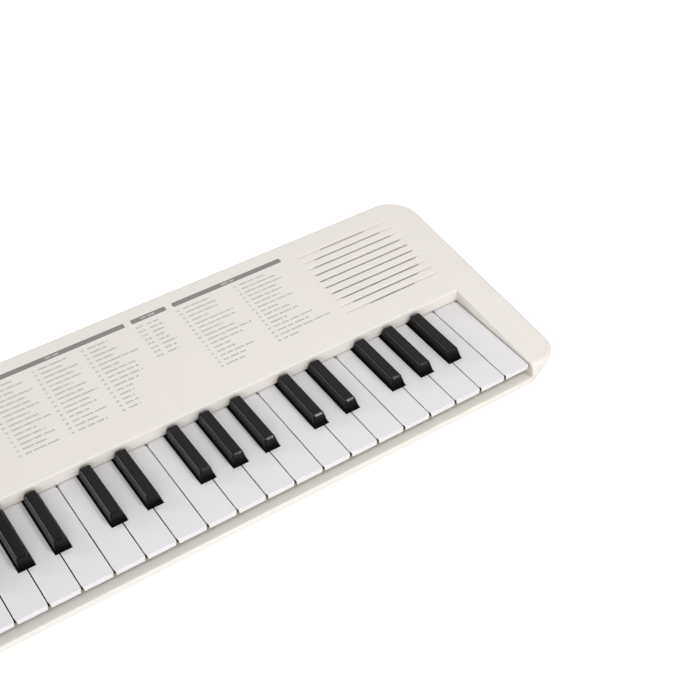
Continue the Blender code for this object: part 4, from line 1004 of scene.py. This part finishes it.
# The slide switch: a small charcoal slider with three grip grooves.
slider = start_slab("power_switch_cap", SWITCH[1], SWITCH[2], -WALL - FLANGE_SHEET, SWITCH_RISE)
round_edges(slider, lambda e: min(v.co.z for v in e.verts) > 0 or is_upright(e), SWITCH_EDGE, 2)
for step in (-1, 0, 1):
    x = step * GRIP_PITCH
    cut_away(slider, start_block("grip groove", (x - GRIP[0] / 2, -1, SWITCH_RISE - GRIP[1]),
                                 (x + GRIP[0] / 2, 1, 1)))
fuse(slider, start_flange(SWITCH[1], SWITCH[2]))
fit_control(slider, "power_switch", SWITCH[0], UPPER_ROW, dark_button_abs)

# Marks by the switch.
switch_words = (("OFF", SWITCH[0] - 0.0092), ("ON", SWITCH[0] + SWITCH_TRAVEL + 0.0046))
words = [lettering(word, LEFT + x, UPPER_ROW, SWITCH_TEXT) for word, x in switch_words]
finish_print("switch_words", words, grey_ink)


# Volume knob
# A turned-looking charcoal ABS knob: a drafted side with fine grip flutes, a softly rounded
# top edge and a white pointer line. It is pressed on the shaft of its potentiometer.
KNOB_RADIUS = 0.0095
KNOB_RISE = 0.005
KNOB_DRAFT = 0.0005
KNOB_FLOOR = 0.0004
KNOB_EDGE = 0.0009
KNOB_INSETS = (0.0012, 0.0005)
KNOB_DISH = 0.0003
FLUTES = 24
FLUTE_SHARE = 0.965
POINTER_RISE = 0.0003
POINTER = (0.0012, 0.0045)
POINTER_INSET = 0.0022
POINTER_DEPTH = 0.0012
POINTER_TOP = KNOB_RISE - 0.0001
POINTER_EDGE = 0.0002
TICK_GAP = 0.0022
TICK_SIDE = 0.0003
TICK_LENGTHS = (0.0016, 0.0024)
TICK_START = 140
TICK_STEP = 28

knob_top = KNOB_RISE - POINTER_RISE
knob = start_disc("volume_knob_cap", (0, 0), KNOB_RADIUS, KNOB_FLOOR, knob_top, 2 * FLUTES)
choose(knob, "VERT", lambda vert: vert.co.z > knob_top - NEAR)
bpy.ops.transform.resize(value=(1 - KNOB_DRAFT / KNOB_RADIUS, 1 - KNOB_DRAFT / KNOB_RADIUS, 1))
close()
choose(knob, "EDGE", lambda edge: abs(edge.verts[0].co.z - edge.verts[1].co.z) > 0.001
       and round(math.atan2(edge.verts[0].co.y, edge.verts[0].co.x) * FLUTES / math.pi) % 2 == 0)
bpy.ops.transform.resize(value=(FLUTE_SHARE, FLUTE_SHARE, 1))
close()
round_edges(knob, lambda e: all(v.co.z > knob_top - NEAR for v in e.verts), KNOB_EDGE, 4)
choose(knob, "FACE", lambda face: face.normal.z > 0.99)
for thickness in KNOB_INSETS:
    bpy.ops.mesh.inset(thickness=thickness, use_even_offset=True)
bpy.ops.transform.translate(value=(0, 0, -KNOB_DISH))
close()
shaft = start_disc("shaft", (0, 0), SHAFT_RADIUS, -0.0065, KNOB_FLOOR + 0.001, 32)
fuse(knob, shaft)
fit_control(knob, "volume_knob", KNOB_X, BUTTON_ROW, dark_button_abs)
pointer_reach = KNOB_RADIUS - POINTER_INSET
side = POINTER[0] / 2
pointer = start_block("volume_knob_pointer", (-side, pointer_reach - POINTER[1], POINTER_TOP - POINTER_DEPTH),
                      (side, pointer_reach, POINTER_TOP))
round_edges(pointer, lambda e: is_upright(e) or all(v.co.z > POINTER_TOP - NEAR for v in e.verts),
            POINTER_EDGE, 2)
pointer.data.transform(panel_place(LEFT + KNOB_X, BUTTON_ROW))
fit(pointer, white_ink, "volume_knob")
ticks = []
for step in range(11):
    tick = ink_patch(-TICK_SIDE, TICK_SIDE, 0.0, TICK_LENGTHS[step % 5 == 0])
    angle = math.radians(TICK_START - TICK_STEP * step)
    tick.data.transform(Matrix.Rotation(angle, 4, "Z") @ Matrix.Translation((0, KNOB_RADIUS + TICK_GAP, 0)))
    tick.data.transform(Matrix.Translation((LEFT + KNOB_X, BUTTON_ROW, 0)))
    ticks.append(tick)
finish_print("volume_ticks", ticks, grey_ink)


# Display window
# A smoked acrylic plate, laser cut and polished, glued in a shallow seat; under it three
# seven-segment digits shine a dim red.
smoked_acrylic, tree, shader, place = start_material("smoked acrylic, polished", "#1C1012", 0.06)
shader.inputs["Transmission Weight"].default_value = 0.75
shader.inputs["IOR"].default_value = 1.49
vary(tree, shader, noise(tree, place, 14, 4), (linear("#5A4346"), linear("#54403F")), (0.03, 0.14), 0.00001)

glass = start_slab("display_window_plate", *WINDOW[1:], -WINDOW_THICK, 0)
round_edges(glass, is_upright, WINDOW_CORNER, 5)
round_edges(glass, lambda e: all(v.co.z > -TINY for v in e.verts), WINDOW_EDGE, 2)
glass.data.transform(panel_place(LEFT + WINDOW[0], UPPER_ROW))
smooth(glass)
fit(glass, smoked_acrylic, "case", "display_window")

digit_red, tree, shader, place = start_material("red digit segments, diffusing epoxy", "#B4231E", 0.5)
shader.inputs["Emission Color"].default_value = linear("#FF3A28")
grains = noise(tree, place, 0.5, 3)
shine = add_node(tree, "ShaderNodeMapRange", {"Value": grains, "To Min": 0.7, "To Max": 1.1})
tree.links.new(shine.outputs["Result"], shader.inputs["Emission Strength"])
DIGIT = (0.0062, 0.0112)
SEGMENT = 0.0013
DIGIT_PITCH = 0.0105
DIGIT_DEPTH = -0.0020
FACE_DEPTH = -0.0023
FACE_LEDGE = 0.0030
SEGMENTS = {0: "abcdef", 1: "bc", 2: "abdeg"}
PLACES = {
    "a": (0, 1, False), "b": (1, 0.5, True), "c": (1, -0.5, True), "d": (0, -1, False),
    "e": (-1, -0.5, True), "f": (-1, 0.5, True), "g": (0, 0, False),
}
face_size = [size - 2 * FACE_LEDGE for size in WINDOW[1:]]
face = start_slab("display_face", *face_size, FACE_DEPTH - 0.0002, FACE_DEPTH)
round_edges(face, is_upright, 0.0005, 2)
face.data.transform(panel_place(LEFT + WINDOW[0], UPPER_ROW))
fit(face, silicone, "case")
for place, digit in enumerate((0, 1, 2)):
    bars = []
    for letter in SEGMENTS[digit]:
        x, y, tall = PLACES[letter]
        wide, high = (SEGMENT / 2, DIGIT[1] / 4 - 0.0004) if tall else (DIGIT[0] / 2 - 0.0004, SEGMENT / 2)
        x, y = (place - 1) * DIGIT_PITCH + x * DIGIT[0] / 2, y * DIGIT[1] / 2
        bar = start_block("bar", (x - wide, y - high, FACE_DEPTH), (x + wide, y + high, DIGIT_DEPTH))
        round_edges(bar, is_upright, SEGMENT * 0.45, 1)
        bars.append(bar)
    digits = join_pieces("display_digit_%d" % (place + 1), bars)
    digits.data.transform(panel_place(LEFT + WINDOW[0], UPPER_ROW))
    fit(digits, digit_red, "case")


# Rear sockets
# A charcoal ABS block behind the rear wall holds a round power inlet with its center pin
# and a headphone jack with a nickel-plated ring.
BORE_RADII = {"dc": 0.0033, "phones": 0.0018}
BORE_DEPTH = 0.0145
PIN_RADIUS = 0.00095
PIN_INSET = 0.001
nickel, tree, shader, place = start_material("nickel-plated steel", "#C9C7C1", 0.25)
shader.inputs["Metallic"].default_value = 1
vary(tree, shader, noise(tree, place, 3, 5), roughness=(0.15, 0.38), relief=0.00001)

block_low, block_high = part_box("socket_block")


def rear_disc(name, x, radius, front, rear, steps=40):
    """Add a cylinder that lies along Y at the height of the sockets."""
    return start_rod(name, (x, (front + rear) / 2, SOCKET_HEIGHT), radius, rear - front, "Y", steps)


sockets = start_block("socket_block_body", block_low, block_high)
round_edges(sockets, lambda e: True, 0.0004, 2)
for x, kind in zip(SOCKET_PLACES, ("dc", "phones")):
    cut_away(sockets, rear_disc("bore", x, BORE_RADII[kind], block_high.y - BORE_DEPTH, case_high.y))
smooth(sockets)
fit(sockets, dark_abs, "case", "socket_block")

pin_end = block_high.y - PIN_INSET
pin = rear_disc("dc_center_pin", SOCKET_PLACES[0], PIN_RADIUS, pin_end - BORE_DEPTH, pin_end, 24)
round_edges(pin, lambda e: all(v.co.y > pin_end - NEAR for v in e.verts), 0.0005, 4)
smooth(pin)
fit(pin, nickel, "case")

ring = rear_disc("phones_ring", SOCKET_PLACES[1], SOCKET_HOLE - 0.0003, block_high.y, case_high.y - 0.0004)
round_edges(ring, lambda e: all(v.co.y > case_high.y - 0.0005 for v in e.verts), 0.0006, 3)
cut_away(ring, rear_disc("bore", SOCKET_PLACES[1], BORE_RADII["phones"], 0, 1))
smooth(ring)
fit(ring, nickel, "case")


# Battery cover and contacts
# The cover is an ivory ABS plate with two hooks at its front edge and grip grooves near its
# rear edge. Nickel-plated plates and springs stand at the ends of the cells.
COVER_FRONT = 0.0294
COVER_THICK = 0.002
COVER_CORNER = 0.0008
COVER_EDGE = 0.0003
GROOVE_SIZE = (0.011, 0.0006)
GROOVE_CORNER = 0.0005
GROOVE_FROM_REAR = 0.004
GROOVE_STEP = 0.0022
HOOK_WIDTH = 0.012
HOOK_SPACING = 0.070
HOOK_LOW = 0.0045
PLATE_SIZE = (0.0004, 0.0115, 0.0135)
CELL_ROWS = (0.0343, 0.0510, 0.0677)
CELL_HEIGHT = 0.0130
COIL_RADIUS = 0.0034
COIL_WIRE = 0.00035
COIL_PITCH = 0.0005
COIL_TURNS = 3
CONTACT_REACH = 0.0006
DIMPLE_RADIUS = 0.003

cover_low, cover_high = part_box("battery_cover")
cover = start_block("battery_cover_plate", (cover_low.x, COVER_FRONT, cover_low.z),
                    (cover_high.x, cover_high.y, cover_low.z + COVER_THICK))
round_edges(cover, is_upright, COVER_CORNER, 3)
round_edges(cover, lambda e: all(v.co.z < cover_low.z + NEAR for v in e.verts), COVER_EDGE, 2)
for step in range(5):
    y = cover_high.y - GROOVE_FROM_REAR - step * GROOVE_STEP
    side, reach = GROOVE_SIZE
    grip = start_block("grip", (-side, y - reach, 0), (side, y + reach, cover_low.z + reach))
    round_edges(grip, is_upright, GROOVE_CORNER, 3)
    cut_away(cover, grip)
for sign in (-1, 1):
    x = sign * HOOK_SPACING / 2
    low, high = x - HOOK_WIDTH / 2, x + HOOK_WIDTH / 2
    riser = start_block("riser", (low, COVER_FRONT + 0.0008, cover_low.z + 0.001),
                        (high, COVER_FRONT + 0.004, cover_high.z))
    tongue = start_block("tongue", (low, cover_low.y, HOOK_LOW), (high, COVER_FRONT + 0.004, cover_high.z))
    round_edges(tongue, lambda e: all(v.co.y < cover_low.y + NEAR for v in e.verts), 0.0004, 2)
    fuse(cover, riser, tongue)
smooth(cover)
fit(cover, ivory_abs, "battery_cover", "battery_cover")

# Each contact is a plate with a coil for the cell's flat end or a dimple for its button.
for side in (-1, 1):
    for row, y in enumerate(CELL_ROWS):
        wall = side * BAY_SIDE
        name = "battery_contact_%s_%d" % ("left" if side < 0 else "right", row + 1)
        edges = sorted((wall, wall - side * PLATE_SIZE[0]))
        plate = start_block(name, (edges[0], y - PLATE_SIZE[1] / 2, CELL_HEIGHT - PLATE_SIZE[2] / 2),
                            (edges[1], y + PLATE_SIZE[1] / 2, CELL_HEIGHT + PLATE_SIZE[2] / 2))
        round_edges(plate, lambda e: abs(e.verts[0].co.x - e.verts[1].co.x) > NEAR, 0.0015, 4)
        if (row % 2 == 0) == (side < 0):
            bpy.ops.object.select_all(action="DESELECT")
            bpy.ops.mesh.primitive_circle_add(vertices=8, radius=COIL_WIRE, location=(0, COIL_RADIUS, 0))
            bpy.ops.object.transform_apply(location=True)
            coil = bpy.context.object
            apply_modifier(coil, "SCREW", axis="X", screw_offset=COIL_PITCH, iterations=COIL_TURNS,
                           steps=20, render_steps=20)
            start = wall - side * CONTACT_REACH - (side > 0) * COIL_TURNS * COIL_PITCH
            coil.data.transform(Matrix.Translation((start, y, CELL_HEIGHT)))
            plate = join_pieces(name, [plate, coil])
        else:
            dimple = start_rod("dimple", (wall - side * CONTACT_REACH, y, CELL_HEIGHT), DIMPLE_RADIUS,
                               2 * CONTACT_REACH, "X", 32)
            round_edges(dimple, lambda e: all(side * v.co.x < BAY_SIDE - 0.0011 for v in e.verts), 0.0004, 3)
            fuse(plate, dimple)
        smooth(plate)
        fit(plate, nickel, "case")


# Feet
# Four round black rubber pads, pressed into the underside, each with a draft and a ring
# recess that grips the table.
rubber = moulded_plastic("black rubber, moulded", "#1E1E1E", 0.8, 0.6, 0.03)
FOOT_DRAFT = 0.0006
FOOT_RADIUS = 0.006
FOOT_RIM = 0.0049
FOOT_RING = (0.0011, 0.0003)
FOOT_RECESS = 0.0004
for node in ("foot_front_left", "foot_front_right", "foot_rear_left", "foot_rear_right"):
    low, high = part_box(node)
    middle = (low + high) / 2
    pad = start_disc(node + "_pad", (middle.x, middle.y), (high.x - low.x) / 2, low.z, high.z)
    choose(pad, "FACE", lambda face: face.normal.z < -0.99)
    bpy.ops.transform.resize(value=(1 - FOOT_DRAFT / FOOT_RADIUS, 1 - FOOT_DRAFT / FOOT_RADIUS, 1))
    for thickness in FOOT_RING:
        bpy.ops.mesh.inset(thickness=thickness)
    bpy.ops.transform.translate(value=(0, 0, FOOT_RECESS))
    close()
    round_edges(pad, lambda e: all(v.co.z < NEAR and (v.co - middle).length > FOOT_RIM for v in e.verts),
                0.0003, 3)
    smooth(pad)
    fit(pad, rubber, "case", node)


# Screws
# Six zinc-plated steel screws with domed heads and cross recesses, sunk into the underside;
# they run up into the bosses of the upper case.
HEAD_RADIUS = 0.0026
HEAD_LOW = 0.0023
SHANK_RADIUS = 0.0013
SHANK_TOP = 0.0290

pattern = start_disc("screw", (0, 0), HEAD_RADIUS, HEAD_LOW, tub_low.z + SCREW_SEAT_DEPTH, 32)
round_edges(pattern, lambda e: all(v.co.z < HEAD_LOW + NEAR for v in e.verts), 0.0009, 5)
shank = start_disc("shank", (0, 0), SHANK_RADIUS, tub_low.z + SCREW_SEAT_DEPTH - 0.0002, SHANK_TOP, 24)
round_edges(shank, lambda e: all(v.co.z > SHANK_TOP - NEAR for v in e.verts), 0.0008, 3)
fuse(pattern, shank)
for wide, long in ((0.0003, 0.0015), (0.0015, 0.0003)):
    cut_away(pattern, start_block("recess", (-wide, -long, 0), (wide, long, HEAD_LOW + 0.0008)))
smooth(pattern)
for place, (x, y) in enumerate(post_places):
    screw = copy_piece(pattern, "screw_%d" % (place + 1))
    screw.data.transform(Matrix.Translation((x, y, 0)))
    fit(screw, steel, "case")
bpy.data.objects.remove(pattern)


# Studio
# A plain pale floor and backdrop under soft lamps: low ones in front, a small one high at
# the right and two behind. The camera sees the floor as white, and it takes a soft shadow.
FLOOR_SIZE = 6.0
FLOOR_LIFT = 0.7
SKY = 0.52
AIM = (0.08, 0, 0)
SOFTBOXES = (
    ("front_left", (-0.7, -1.4, 0.5), 0.8, 9.4),
    ("front_right", (0.4, -1.5, 0.4), 0.6, 4),
    ("front_high", (0.5, -0.55, 1.04), 0.22, 4.4),
    ("rear_left", (-1.1, 1.03, 0.5), 0.5, 7),
    ("rear_right", (0.75, 1.15, 1.2), 1.2, 2.5),
)

bpy.ops.object.select_all(action="DESELECT")
bpy.ops.mesh.primitive_plane_add(size=FLOOR_SIZE)
floor = bpy.context.object
floor.name = "studio_floor"
paper_white, tree, shader, place = start_material("white studio paper", "#CFCFCF", 0.9)
ray = tree.nodes.new("ShaderNodeLightPath").outputs
seen = calculate(tree, "MAXIMUM", ray["Is Camera Ray"], ray["Is Glossy Ray"])
seen = calculate(tree, "MAXIMUM", seen, ray["Is Transmission Ray"])
lift = calculate(tree, "MULTIPLY", seen, FLOOR_LIFT)
glow = add_node(tree, "ShaderNodeEmission", {"Color": (1, 1, 1, 1), "Strength": lift})
both = add_node(tree, "ShaderNodeAddShader", {0: shader.outputs[0], 1: glow.outputs[0]})
tree.links.new(both.outputs[0], tree.nodes["Material Output"].inputs["Surface"])
floor.data.materials.append(paper_white)

world = bpy.data.worlds.new("studio sky")
bpy.context.scene.world = world
world.use_nodes = True
tree = world.node_tree
sky = tree.nodes["Background"]
sky.inputs["Color"].default_value = linear("#FFFFFF")
ray = tree.nodes.new("ShaderNodeLightPath").outputs
seen = calculate(tree, "MULTIPLY", ray["Is Camera Ray"], 1 - SKY)
tree.links.new(calculate(tree, "ADD", seen, SKY), sky.inputs["Strength"])

for name, place, size, power in SOFTBOXES:
    bpy.ops.object.select_all(action="DESELECT")
    aim = Vector(AIM) - Vector(place)
    bpy.ops.object.light_add(type="AREA", location=place, rotation=aim.to_track_quat("-Z", "Y").to_euler())
    softbox = bpy.context.object
    softbox.name = "softbox_" + name
    softbox.data.size = size
    softbox.data.energy = power

bpy.context.scene.view_settings.view_transform = "Standard"
